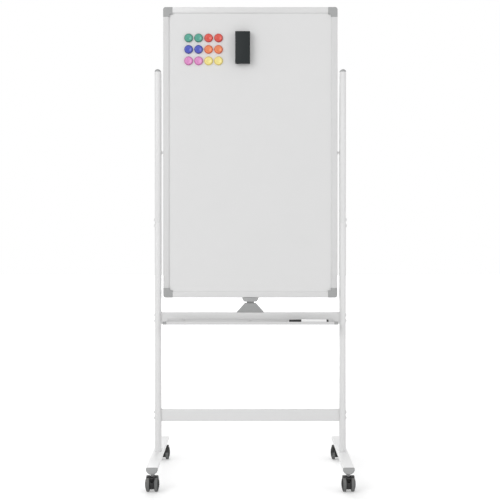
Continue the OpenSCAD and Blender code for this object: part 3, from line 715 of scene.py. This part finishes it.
class PartPlacer:
    """A node tree that sets copies of one part on points, each turned to its own aim."""

    INPUTS = {"Geometry": "Geometry", "Part": "Object", "Scale": "Float", "Turn Range": "Float",
              "Seed": "Int", "Material": "Material"}
    SEED = 7

    def __init__(self) -> None:
        """Build the tree and remember its inputs' identifiers."""
        self.tree = bpy.data.node_groups.new("place_parts", "GeometryNodeTree")
        face = self.tree.interface
        for name, kind in self.INPUTS.items():
            face.new_socket(name, in_out="INPUT", socket_type=f"NodeSocket{kind}")
        face.new_socket("Geometry", in_out="OUTPUT", socket_type="NodeSocketGeometry")
        self.ids = {s.name: s.identifier for s in face.items_tree if s.in_out == "INPUT"}
        self._wire()

    def _wire(self) -> None:
        """Add and join the tree's nodes."""
        w = Wiring(self.tree)
        given = w.node("NodeGroupInput").outputs
        part = w.node("GeometryNodeObjectInfo", {"Object": given["Part"]}, transform_space="ORIGINAL")
        aim = w.node("GeometryNodeInputNamedAttribute", {"Name": "aim"}, data_type="FLOAT_VECTOR")
        aimed = w.node("FunctionNodeAlignRotationToVector", {"Vector": aim.outputs["Attribute"]}, axis="Z")
        chance = w.node("FunctionNodeRandomValue", {3: given["Turn Range"], "Seed": given["Seed"]},
                        data_type="FLOAT")
        own = w.node("FunctionNodeAxisAngleToRotation", {"Axis": (0.0, 0.0, 1.0), "Angle": chance.outputs[1]})
        both = {"Rotation": aimed.outputs["Rotation"], "Rotate By": own.outputs["Rotation"]}
        turn = w.node("FunctionNodeRotateRotation", both, rotation_space="LOCAL")
        points = w.node("GeometryNodeMeshToPoints", {"Mesh": given["Geometry"]})
        copies = w.node("GeometryNodeInstanceOnPoints", {
            "Points": points.outputs["Points"], "Instance": part.outputs["Geometry"],
            "Rotation": turn.outputs["Rotation"], "Scale": given["Scale"],
        })
        real = w.node("GeometryNodeRealizeInstances", {"Geometry": copies.outputs["Instances"]})
        dressed = w.node("GeometryNodeSetMaterial", {"Geometry": real.outputs["Geometry"],
                                                     "Material": given["Material"]})
        w.node("NodeGroupOutput", {"Geometry": dressed.outputs["Geometry"]})

    def place(self, name: str, part: Mesh, where: list[Place], material: Material,
              turn: float = 0.0) -> Object:
        """Place a part on points and return the result as one plain mesh object.

        Args:
            name: The piece's name.
            part: The mesh of one part, standing on the origin along Z.
            where: For each copy, its place and the direction that its Z axis takes.
            material: The material of every copy.
            turn: Largest random turn about the part's own axis, in radians.

        Returns:
            The finished piece.
        """
        cloud = bpy.data.meshes.new(name)
        cloud.from_pydata([tuple(point) for point, _ in where], [], [])
        aims = cloud.attributes.new("aim", "FLOAT_VECTOR", "POINT")
        for item, (_, aim) in zip(aims.data, where):
            item.vector = aim
        source = bpy.data.objects.new(f"{name}_part", part)
        obj = add_object(name, cloud)
        mod = obj.modifiers.new("place", "NODES")
        mod.node_group = self.tree
        values = {"Part": source, "Scale": 1.0, "Turn Range": turn, "Seed": self.SEED, "Material": material}
        for key, value in values.items():
            mod[self.ids[key]] = value
        mesh = baked_copy(obj)
        bpy.data.objects.remove(source)
        if "aim" in mesh.attributes:
            mesh.attributes.remove(mesh.attributes["aim"])
        LOG.info("%s: %d copies by Geometry Nodes", name, len(where))
        return add_object(name, mesh)


# ---------------------------------------------------------------------------
# Turned and skinned parts
# ---------------------------------------------------------------------------


CROSS_ARM = 0.22  # Half the width of a cross's arm, as a share of its length


class Outline(Enum):
    """Shape of one ring of a turned part."""

    ROUND = "round"
    HEX = "hex"
    CROSS = "cross"

    def reach(self, size: float, angle: float) -> float:
        """Distance from the axis to the ring's outline at an angle.

        Args:
            size: Radius of a circle, half width across a hexagon's flats, or length of a cross's arm.
            angle: Angle about the axis, in radians.

        Returns:
            The distance.
        """
        if self is Outline.HEX:
            return size / math.cos((angle + math.pi / 6) % (math.pi / 3) - math.pi / 6)
        if self is Outline.CROSS:
            off = (angle + math.pi / 4) % (math.pi / 2) - math.pi / 4
            return min(size / math.cos(off), CROSS_ARM * size / max(abs(math.sin(off)), 1e-6))
        return size


@dataclass(frozen=True)
class Ring:
    """One ring of a turned part: its size, height and outline."""

    size: float
    height: float
    outline: Outline = Outline.ROUND


def rings_of(points: list[Three], steps: int = 5) -> list[Ring]:
    """Make round rings from a profile, with its inner corners rounded.

    Args:
        points: Radius, height and corner radius of each point.
        steps: Number of segments on each rounded corner.

    Returns:
        The rings.
    """
    out = []
    for i, (x, z, size) in enumerate(points):
        here = Vector((x, z))
        if size <= 0.0 or i in (0, len(points) - 1):
            out.append(here)
            continue
        back, ahead = Vector(points[i - 1][:2]) - here, Vector(points[i + 1][:2]) - here
        reach = min(size, back.length * 0.49, ahead.length * 0.49)
        start, end = here + back.normalized() * reach, here + ahead.normalized() * reach
        for t in (step / steps for step in range(steps + 1)):
            out.append(start * (1 - t) ** 2 + here * 2 * t * (1 - t) + end * t ** 2)
    return [Ring(max(point.x, TINY), point.y) for point in out]


def skinned(name: str, skins: list[list[list[Vector]]]) -> Mesh:
    """Skin loops of points, with a pole in the middle of the first and the last loop.

    Args:
        name: The mesh's name.
        skins: For each closed solid, its loops in order, all with the same number of points.

    Returns:
        The closed mesh, with its normals outwards.
    """
    bm = bmesh.new()
    for points in skins:
        loops = [[bm.verts.new(point) for point in loop] for loop in points]
        steps = len(loops[0])
        for low, high in zip(loops, loops[1:]):
            for i in range(steps):
                j = (i + 1) % steps
                bm.faces.new((low[i], low[j], high[j], high[i]))
        for loop in (loops[0], loops[-1]):
            pole = bm.verts.new(sum((vert.co for vert in loop), Vector()) / steps)
            for i in range(steps):
                bm.faces.new((loop[i], loop[(i + 1) % steps], pole))
    bmesh.ops.recalc_face_normals(bm, faces=bm.faces)
    return to_mesh(bm, bpy.data.meshes.new(name))


def turned(name: str, rings: list[Ring], steps: int = 48) -> Mesh:
    """Skin rings about the Z axis, with a pole at each end.

    Args:
        name: The mesh's name.
        rings: The rings in order from one pole to the other.
        steps: Number of points on each ring.

    Returns:
        The closed mesh, with its normals outwards.
    """
    angles = [math.tau * i / steps for i in range(steps)]
    loops = []
    for ring in rings:
        spokes = [(ring.outline.reach(ring.size, angle), angle) for angle in angles]
        loops.append([Vector((r * math.cos(a), r * math.sin(a), ring.height)) for r, a in spokes])
    return skinned(name, [loops])


def shoulder(foot: Ring, top: Ring, steps: int) -> list[Ring]:
    """Arch a head's shoulder over from its side to its top.

    Args:
        foot: The ring where the shoulder starts.
        top: The ring where it ends.
        steps: Number of rings after the first.

    Returns:
        The rings, from foot to top.
    """
    rise, inset = top.height - foot.height, top.size - foot.size
    return [Ring(foot.size + inset * t, foot.height + rise * math.sin(t * math.pi / 2))
            for t in (step / steps for step in range(steps + 1))]


# ---------------------------------------------------------------------------
# Sub-assemblies
# ---------------------------------------------------------------------------


SLOTS: dict[str, str] = {row["node"]: row["material_slot"] for row in frame["record"]["subparts"]}
BODIES: dict[str, str] = {
    node: body for body, nodes in frame["record"]["behaviour"]["bodies"].items() for node in nodes
}


@dataclass(frozen=True)
class Soft:
    """A CAD node that is rebuilt with rounded edges.

    Attributes:
        node: The node's name.
        finish: The finish's name.
        width: Radius of the rounded edges, in metres.
        segments: Faces across each rounded edge.
    """

    FLAT_BELOW = math.radians(0.6)
    ROUND_ABOVE = math.radians(32.0)

    node: str
    finish: str
    width: float = 0.5 * MM
    segments: int = 2

    def build(self, palette: Palette) -> None:
        """Make the piece, and let it stand for its node.

        Args:
            palette: The easel's finishes.
        """
        bm = merged(self.node)
        bmesh.ops.dissolve_limit(bm, angle_limit=self.FLAT_BELOW, use_dissolve_boundaries=False,
                                 verts=bm.verts, edges=bm.edges)
        name = f"{self.node}_soft"
        obj = add_object(name, to_mesh(bm, bpy.data.meshes.new("clean")))
        bevel = obj.modifiers.new("round", "BEVEL")
        bevel.width, bevel.segments = self.width, self.segments
        bevel.limit_method, bevel.angle_limit = "ANGLE", self.ROUND_ABOVE
        bevel.use_clamp_overlap = True
        bevel.miter_outer = "MITER_ARC"
        obj = add_object(name, baked_copy(obj), palette[self.finish])
        settle(obj, BODIES[self.node], SLOTS[self.node], self.node)


@dataclass
class SubAssembly:
    """A group of pieces that belong together."""

    palette: Palette
    placer: PartPlacer

    def soft_parts(self) -> list[Soft]:
        """Return the CAD nodes that are rebuilt with rounded edges."""
        return []

    def details(self) -> None:
        """Build the pieces that have a shape of their own."""

    def build(self) -> None:
        """Build every piece of the group."""
        LOG.info("building %s", type(self).__name__)
        for part in self.soft_parts():
            part.build(self.palette)
        self.details()

    def copies(self, node: str, part: Mesh, where: list[Place], finish: str, turn: float = 0.0) -> None:
        """Set copies of a part in the places of a node's solids, and let them stand for the node.

        Args:
            node: The CAD node.
            part: The mesh of one part, along Z.
            where: Place and direction of each copy.
            finish: The finish's name.
            turn: Largest random turn about the part's own axis, in radians.
        """
        piece = self.placer.place(f"{node}_made", part, where, self.palette[finish], turn)
        settle(piece, BODIES[node], SLOTS[node], node)


@dataclass
class Board(SubAssembly):
    """The framed double-sided board and its pivot parts."""

    rail_edge: float = 0.45 * MM
    cap_edge: float = 2.0 * MM

    def soft_parts(self) -> list[Soft]:
        """List the rails, corner caps and pivot parts.

        Returns:
            The pieces, each with its finish and edge radius.
        """
        # The top and bottom rails take the copy painted lighter, the side rails the copy painted darker
        across = [Soft(n, "rail_white_across", self.rail_edge) for n in ("top_rail", "bottom_rail")]
        upright = [Soft(n, "rail_white_upright", self.rail_edge) for n in ("left_rail", "right_rail")]
        return across + upright + [
            Soft("corner_caps", "moulded_grey", self.cap_edge, 4), Soft("pivot_blocks", "zinc_bright"),
            Soft("pivot_pins", "zinc_satin", 0.3 * MM), Soft("pivot_nuts", "zinc_bright", 0.3 * MM),
        ]

    def details(self) -> None:
        """Dress the flat sheets and the core between them."""
        for node in ("front_writing_sheet", "rear_writing_sheet"):
            paint(node, self.palette["enamel_white"])
        paint("core_panel", self.palette["kraft_core"])


@dataclass
class Magnets(SubAssembly):
    """Round coloured magnets: a steep skirt, a round shoulder and a dished face."""

    hollow: float = 0.4 * MM
    foot: float = 2.0 * MM
    crest: float = 4.6 * MM
    dish: float = 1.9 * MM

    def shape(self, radius: float, height: float) -> Mesh:
        """Make one magnet, standing on its back.

        Args:
            radius: Its radius.
            height: Its height.

        Returns:
            The mesh.
        """
        return turned("magnet", rings_of([
            (0.0, self.hollow, 0.0), (radius - self.foot, self.hollow, 0.2 * MM),
            (radius - 0.9 * self.foot, 0.0, 0.2 * MM), (radius, 0.0, 0.5 * MM),
            (radius, 0.42 * height, 1.4 * MM), (radius - 0.35 * self.crest, 0.76 * height, 1.6 * MM),
            (radius - self.crest, height, 1.5 * MM), (radius - 1.4 * self.crest, height - 0.3 * MM, 1.0 * MM),
            (0.25 * radius, height - self.dish, 3.0 * MM), (0.0, height - self.dish, 0.0),
        ]), 64)

    def details(self) -> None:
        """Set the magnets of each colour."""
        for name in self.palette.MAGNETS:
            node = f"magnets_{name}"
            boxes = islands(node)
            low, high = boxes[0]
            part = self.shape((high.x - low.x) / 2, high.y - low.y)
            where = [(Vector(((a.x + b.x) / 2, b.y, (a.z + b.z) / 2)), Vector((0, -1, 0))) for a, b in boxes]
            self.copies(node, part, where, f"magnet_{name}")


@dataclass
class Accessories(SubAssembly):
    """The eraser and the capped marker."""

    def soft_parts(self) -> list[Soft]:
        """List the eraser's and the marker's pieces.

        Returns:
            The pieces, each with its finish and edge radius.
        """
        return [
            Soft("eraser_grip", "shell_charcoal", 0.6 * MM, 3), Soft("eraser_felt", "felt_dark", 0.8 * MM, 3),
            Soft("marker_barrel", "marker_white", 0.25 * MM),
            Soft("marker_end_plug", "marker_black", 0.4 * MM), Soft("marker_cap", "marker_black", 0.4 * MM),
        ]


@dataclass
class Posts(SubAssembly):
    """The two-part posts with their caps, inner tubes and bushes."""

    def soft_parts(self) -> list[Soft]:
        """List the tubes and moulded parts of the posts.

        Returns:
            The pieces, each with its finish and edge radius.
        """
        tubes = [f"{side}_{part}_post" for part in ("upper", "lower") for side in ("left", "right")]
        return [Soft(n, "tube_white", 0.35 * MM) for n in tubes] + [
            Soft("post_caps", "moulded_grey", 0.8 * MM, 3), Soft("post_inserts", "zinc_bright", 0.4 * MM),
            Soft("pivot_bushes", "nylon_white", 0.3 * MM),
        ]


@dataclass(frozen=True)
class Fastener:
    """A kind of bolt or screw.

    Attributes:
        make: Makes one from its head's radius and height and its shank's length.
        head: Height of the head.
        turn: Angle at which its socket looks the same again, in radians.
    """

    make: Callable[[float, float, float], Mesh]
    head: float
    turn: float


@dataclass
class Bolts(SubAssembly):
    """Button-head bolts with a hexagon socket, and the tray's cross-head screws."""

    socket: float = 2.1 * MM
    socket_depth: float = 1.9 * MM
    shank: float = 3.0 * MM
    head_height: float = 4.0 * MM
    screw_height: float = 2.2 * MM
    arch: int = 6

    def bolt(self, radius: float, height: float, length: float) -> Mesh:
        """Make one bolt, its head's underside at the origin and its shank along -Z.

        Args:
            radius: Radius of the head.
            height: Height of the head.
            length: Length of the shank.

        Returns:
            The mesh.
        """
        return turned("bolt", [
            Ring(self.shank * 0.8, -length), Ring(self.shank, -length + 0.8 * MM), Ring(self.shank, 0.0),
            Ring(radius * 0.96, 0.0), Ring(radius, 0.12 * height),
            *shoulder(Ring(radius, 0.38 * height), Ring(self.socket * 1.35, height), self.arch),
            Ring(self.socket * 1.06, height, Outline.HEX), Ring(self.socket, height - 0.25 * MM, Outline.HEX),
            Ring(self.socket, height - self.socket_depth, Outline.HEX),
        ])

    def screw(self, radius: float, height: float, length: float) -> Mesh:
        """Make one pan-head screw with a cross recess, laid out as a bolt is.

        Args:
            radius: Radius of the head.
            height: Height of the head.
            length: Length of the shank.

        Returns:
            The mesh.
        """
        return turned("screw", [
            Ring(0.4 * radius, -length), Ring(0.5 * radius, 0.0), Ring(radius * 0.97, 0.0),
            *shoulder(Ring(radius, 0.25 * height), Ring(0.62 * radius, height), self.arch),
            Ring(0.56 * radius, height, Outline.CROSS), Ring(0.50 * radius, height - 0.2 * MM, Outline.CROSS),
            Ring(0.36 * radius, height * 0.25, Outline.CROSS),
        ])

    def fasten(self, node: str, kind: Fastener, axis: int, finish: str, side: float = 0.0) -> None:
        """Set every bolt or screw of a node in its place.

        Args:
            node: The CAD node.
            kind: The kind of bolt or screw.
            axis: The axis that it lies along, 0 for X, 1 for Y and 2 for Z.
            finish: The finish's name.
            side: 1 or -1 for heads up or down the axis, and 0 for heads away from the middle.
        """
        boxes = islands(node)
        size = boxes[0][1] - boxes[0][0]
        where = []
        for low, high in boxes:
            out = side or math.copysign(1.0, low[axis])
            place, aim = (low + high) / 2, Vector()
            place[axis] = (high if out > 0 else low)[axis] - out * kind.head
            aim[axis] = out
            where.append((place, aim))
        # The head is round, so the axis before gives its width
        part = kind.make(size[axis - 1] / 2, kind.head, size[axis] - kind.head)
        self.copies(node, part, where, finish, kind.turn)

    def details(self) -> None:
        """Set every bolt and screw in its place."""
        bolt = Fastener(self.bolt, self.head_height, math.pi / 3)
        screw = Fastener(self.screw, self.screw_height, math.pi / 2)
        self.fasten("post_bolts", bolt, 0, "tube_white")
        self.fasten("crossbar_bolts", bolt, 0, "tube_white")
        self.fasten("foot_bolts", bolt, 2, "zinc_bright", -1.0)
        self.fasten("tray_screws", screw, 1, "tray_white", -1.0)


@dataclass
class Crossbars(SubAssembly):
    """The two crossbars, the pen tray and the latch."""

    def soft_parts(self) -> list[Soft]:
        """List the bars, their blocks, the tray and the latch.

        Returns:
            The pieces, each with its finish and edge radius.
        """
        return [
            Soft("tray_crossbar", "bar_white", 0.35 * MM), Soft("lower_crossbar", "bar_white", 0.35 * MM),
            Soft("crossbar_blocks", "zinc_bright", 0.4 * MM), Soft("pen_tray", "tray_white", 0.3 * MM),
            Soft("tray_back_plate", "tray_white", 0.3 * MM),
            Soft("tray_end_caps", "moulded_grey", 0.6 * MM, 3),
            # The cradle's grey is the latch's plastic painted lighter, as painted light
            Soft("latch_base", "latch_grey", 1.0 * MM, 3), Soft("latch_cradle", "cradle_grey", 0.9 * MM, 3),
        ]


@dataclass
class Feet(SubAssembly):
    """The feet with their domed end caps and the sockets of the casters."""

    crown: float = 5.2 * MM
    seam: float = 0.3 * MM
    rings: int = 9
    tip: float = 0.02

    def soft_parts(self) -> list[Soft]:
        """List the feet, and the sockets and stems of the casters.

        Returns:
            The pieces, each with its finish and edge radius.
        """
        return [
            # The feet's white is painted lighter, as painted light
            Soft("left_foot", "foot_white", 0.4 * MM), Soft("right_foot", "foot_white", 0.4 * MM),
            # The caster stems' zinc is painted lighter, as painted light in the feet's shadow
            Soft("caster_sockets", "nylon_dark", 0.4 * MM), Soft("caster_stems", "zinc_satin", 0.4 * MM),
        ]

    def cap_loops(self, node: str, low: Vector, high: Vector) -> list[list[Vector]]:
        """Work out the loops of one end cap, from the foot's end to the top of its crown.

        Args:
            node: The CAD node of the caps.
            low: The cap's lowest corner.
            high: The cap's highest corner.

        Returns:
            The loops, each scaled from the outline of the cap's outer face.
        """
        end = max(low.y, high.y, key=abs)
        side = math.copysign(1.0, end)
        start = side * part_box("left_foot")[1].y
        found = {(round(v.co.x, 6), round(v.co.z, 6)) for v in frame["nodes"][node].data.vertices
                 if abs(v.co.y - end) < TINY and low.x - TINY < v.co.x < high.x + TINY}
        x, z = (low.x + high.x) / 2, (low.z + high.z) / 2
        outline = sorted(found, key=lambda point: math.atan2(point[1] - z, point[0] - x))
        steps = [(1.0 - self.seam / (high.z - z), start), (1.0, start + side * self.seam)]
        for angle in (i / self.rings * math.pi / 2 for i in range(self.rings)):
            steps.append((math.cos(angle), end - side * self.crown * (1.0 - math.sin(angle))))
        steps.append((self.tip, end))
        return [[Vector((x + (px - x) * size, y, z + (pz - z) * size)) for px, pz in outline]
                for size, y in steps]

    def details(self) -> None:
        """Build the four end caps."""
        node = "foot_end_caps"
        name = f"{node}_made"
        mesh = skinned(name, [self.cap_loops(node, low, high) for low, high in islands(node)])
        smooth_by_angle(mesh)
        settle(add_object(name, mesh, self.palette["moulded_grey"]), BODIES[node], SLOTS[node], node)


@dataclass
class Casters(SubAssembly):
    """Twin-wheel casters: body, two wheels and, in front, a brake pedal."""

    tread: float = 4.2 * MM
    tread_share: float = 0.7
    dome_inset: float = 2.5 * MM
    dome_rings: int = 24
    hub_share: float = 0.3
    groove: float = 0.5 * MM
    groove_share: float = 0.05
    steps: int = 96

    def soft_parts(self) -> list[Soft]:
        """List the bodies and pedals.

        Returns:
            The pieces, each with its finish and edge radius.
        """
        bodies = [Soft(f"{end}_{side}_caster_body", "caster_black", 0.6 * MM, 3)
                  for end in ("front", "rear") for side in ("left", "right")]
        return bodies + [Soft(f"front_{side}_brake_pedal", "caster_black", 0.5 * MM, 3)
                         for side in ("left", "right")]

    def wheel(self, radius: float, width: float) -> tuple[Mesh, Mesh]:
        """Make a wheel's tread and its rim, with the outer face towards +Z.

        Args:
            radius: Radius of the tread.
            width: Width of the wheel.

        Returns:
            The meshes of the tread and the rim.
        """
        half, inner = width / 2, radius - self.tread
        side, face = radius - 0.9 * MM, width * (self.tread_share - 0.5)
        tread = rings_of([
            (inner, 0.6 * MM - half, 0.2 * MM), (side, -half, 0.8 * MM), (radius, 2.4 * MM - half, 1.6 * MM),
            (radius, face - 2.0 * MM, 1.6 * MM), (side, face, 0.8 * MM), (inner, face - 0.6 * MM, 0.2 * MM),
        ])
        edge, sag = radius - self.dome_inset, half - face
        ball = (edge ** 2 + sag ** 2) / (2 * sag)
        rim = [Ring(edge - 0.4 * MM, face - 1.2 * MM), Ring(edge, face - 0.8 * MM)]
        for step in range(self.dome_rings + 1):
            reach = edge * math.cos(step / self.dome_rings * math.pi / 2)
            sunk = self.groove * math.exp(-((reach / edge - self.hub_share) / self.groove_share) ** 2)
            rim.append(Ring(max(reach, TINY), half - ball + math.sqrt(ball ** 2 - reach ** 2) - sunk))
        return turned("tread", tread, self.steps), turned("rim", rim, self.steps)

    def one_wheel(self, node: str, outwards: int) -> None:
        """Build one wheel in the place of its node.

        Args:
            node: The wheel's CAD node.
            outwards: 1 where its outer face looks to +X, and -1 where it looks to -X.
        """
        low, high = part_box(node)
        tread, rim = self.wheel((high.z - low.z) / 2, high.x - low.x)
        turn = Matrix.Translation((low + high) / 2) @ Matrix.Rotation(outwards * math.pi / 2, 4, "Y")
        for mesh in (tread, rim):
            mesh.transform(turn)
            smooth_by_angle(mesh)
        body = BODIES[node]
        settle(add_object(f"{node}_tread", tread, self.palette["tread_grey"]), body, "wheel_grey", node)
        settle(add_object(f"{node}_rim", rim, self.palette["rim_black"]), body, "caster_black")

    def details(self) -> None:
        """Build the eight wheels, each on its own body."""
        for end in ("front", "rear"):
            for side, sign in (("left", -1), ("right", 1)):
                self.one_wheel(f"{end}_{side}_outer_wheel", sign)
                self.one_wheel(f"{end}_{side}_inner_wheel", -sign)


# ---------------------------------------------------------------------------
# Studio
# ---------------------------------------------------------------------------


@dataclass
class Lamp:
    """An area lamp: where it stands, what it faces, its size and its power."""

    name: str
    place: Three
    target: Three
    size: float
    power: float

    def build(self) -> None:
        """Add the lamp to the scene."""
        data = bpy.data.lights.new(self.name, "AREA")
        data.shape = "SQUARE"
        data.size = self.size
        data.energy = self.power
        obj = bpy.data.objects.new(self.name, data)
        bpy.context.scene.collection.objects.link(obj)
        obj.location = self.place
        obj.rotation_euler = (Vector(self.target) - Vector(self.place)).to_track_quat("-Z", "Y").to_euler()


@dataclass
class Studio:
    """Pale floor, soft lamps, a white surround and the camera."""

    WHITE = (1.0, 1.0, 1.0, 1.0)

    floor_half: float = 12.0
    floor_tone: float = 0.86
    floor_lift: float = 0.27
    far_lift: float = 0.60
    far_start: float = 0.5
    far_end: float = 3.5
    surround: float = 0.62
    stand: Three = (-0.0012, -3.6763, 0.8983)
    pitch: float = math.radians(90.0 - 0.4280)
    sensor: float = 36.0
    lens: float = 76.66
    shift: float = -0.055
    lamps: list[Lamp] = field(default_factory=lambda: [
        Lamp("key", (-2.4, -3.2, 2.6), (0.0, 0.0, 0.9), 2.4, 54.0),
        Lamp("fill", (2.8, -2.6, 1.8), (0.0, 0.0, 0.8), 2.6, 22.0),
        Lamp("rim", (-0.6, 2.8, 2.8), (0.0, 0.0, 0.9), 2.0, 30.0),
    ])

    def camera(self) -> None:
        """Add the camera and make it the scene's camera."""
        data = bpy.data.cameras.new("view")
        data.lens, data.sensor_width, data.shift_y = self.lens, self.sensor, self.shift
        data.dof.use_dof = False
        obj = bpy.data.objects.new("view", data)
        obj.location = self.stand
        obj.rotation_euler = (self.pitch, 0.0, 0.0)
        bpy.context.scene.collection.objects.link(obj)
        bpy.context.scene.camera = obj

    @staticmethod
    def _direct_view(w: Wiring) -> NodeSocket:
        """Find what the camera sees itself, in a mirror or through glass.

        Args:
            w: The wiring of the tree that asks.

        Returns:
            The socket that gives 1 there and 0 elsewhere.
        """
        path = w.node("ShaderNodeLightPath").outputs
        first = w.math("ADD", path["Is Camera Ray"], path["Is Glossy Ray"], clamp=True)
        return w.math("ADD", first, path["Is Transmission Ray"], clamp=True)

    def world(self) -> None:
        """Light from all round, and a white background where it is seen."""
        world = bpy.data.worlds.new("surround")
        bpy.context.scene.world = world
        world.use_nodes = True
        world.node_tree.nodes.clear()
        w = Wiring(world.node_tree)
        seen = w.node("ShaderNodeBackground", {"Color": self.WHITE})
        light = w.node("ShaderNodeBackground", {"Color": self.WHITE, "Strength": self.surround})
        choice = {"Fac": self._direct_view(w), 1: light.outputs[0], 2: seen.outputs[0]}
        mix = w.node("ShaderNodeMixShader", choice)
        w.node("ShaderNodeOutputWorld", {"Surface": mix.outputs[0]})

    def floor(self) -> None:
        """Add the floor, which keeps the easel's shadow and otherwise looks white."""
        corners = [(x * self.floor_half, y * self.floor_half, 0.0)
                   for x, y in ((-1, -1), (1, -1), (1, 1), (-1, 1))]
        mesh = bpy.data.meshes.new("floor")
        mesh.from_pydata(corners, [], [range(4)])
        material = bpy.data.materials.new("floor_pale")
        material.use_nodes = True
        w = Wiring(material.node_tree)
        away = w.node("ShaderNodeVectorMath", {0: w.place()}, operation="LENGTH").outputs["Value"]
        far = w.math("MULTIPLY", w.ramp(away, self.far_start, self.far_end), self.far_lift)
        lift = w.math("MULTIPLY", self._direct_view(w), w.math("ADD", far, self.floor_lift))
        w.fill(material.node_tree.nodes["Principled BSDF"], {
            "Base Color": (*(self.floor_tone,) * 3, 1.0), "Roughness": 0.7, "Emission Color": self.WHITE,
            "Emission Strength": lift,
        })
        add_object("floor", mesh, material)

    def build(self) -> None:
        """Set up the whole studio."""
        bpy.context.scene.view_settings.view_transform = "Standard"
        self.camera()
        self.world()
        self.floor()
        for lamp in self.lamps:
            lamp.build()


# ---------------------------------------------------------------------------
# Main
# ---------------------------------------------------------------------------


def write_sizes() -> None:
    """Update the view layer.
    """
    bpy.context.view_layer.update()


def main() -> None:
    """Build the studio and every sub-assembly."""
    logging.basicConfig(level=logging.INFO, format="%(name)s: %(message)s")
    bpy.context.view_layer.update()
    Studio().build()
    palette, placer = Palette(), PartPlacer()
    for group in (Board, Magnets, Accessories, Posts, Bolts, Crossbars, Feet, Casters):
        group(palette, placer).build()
    write_sizes()


if __name__ == "__main__":
    main()
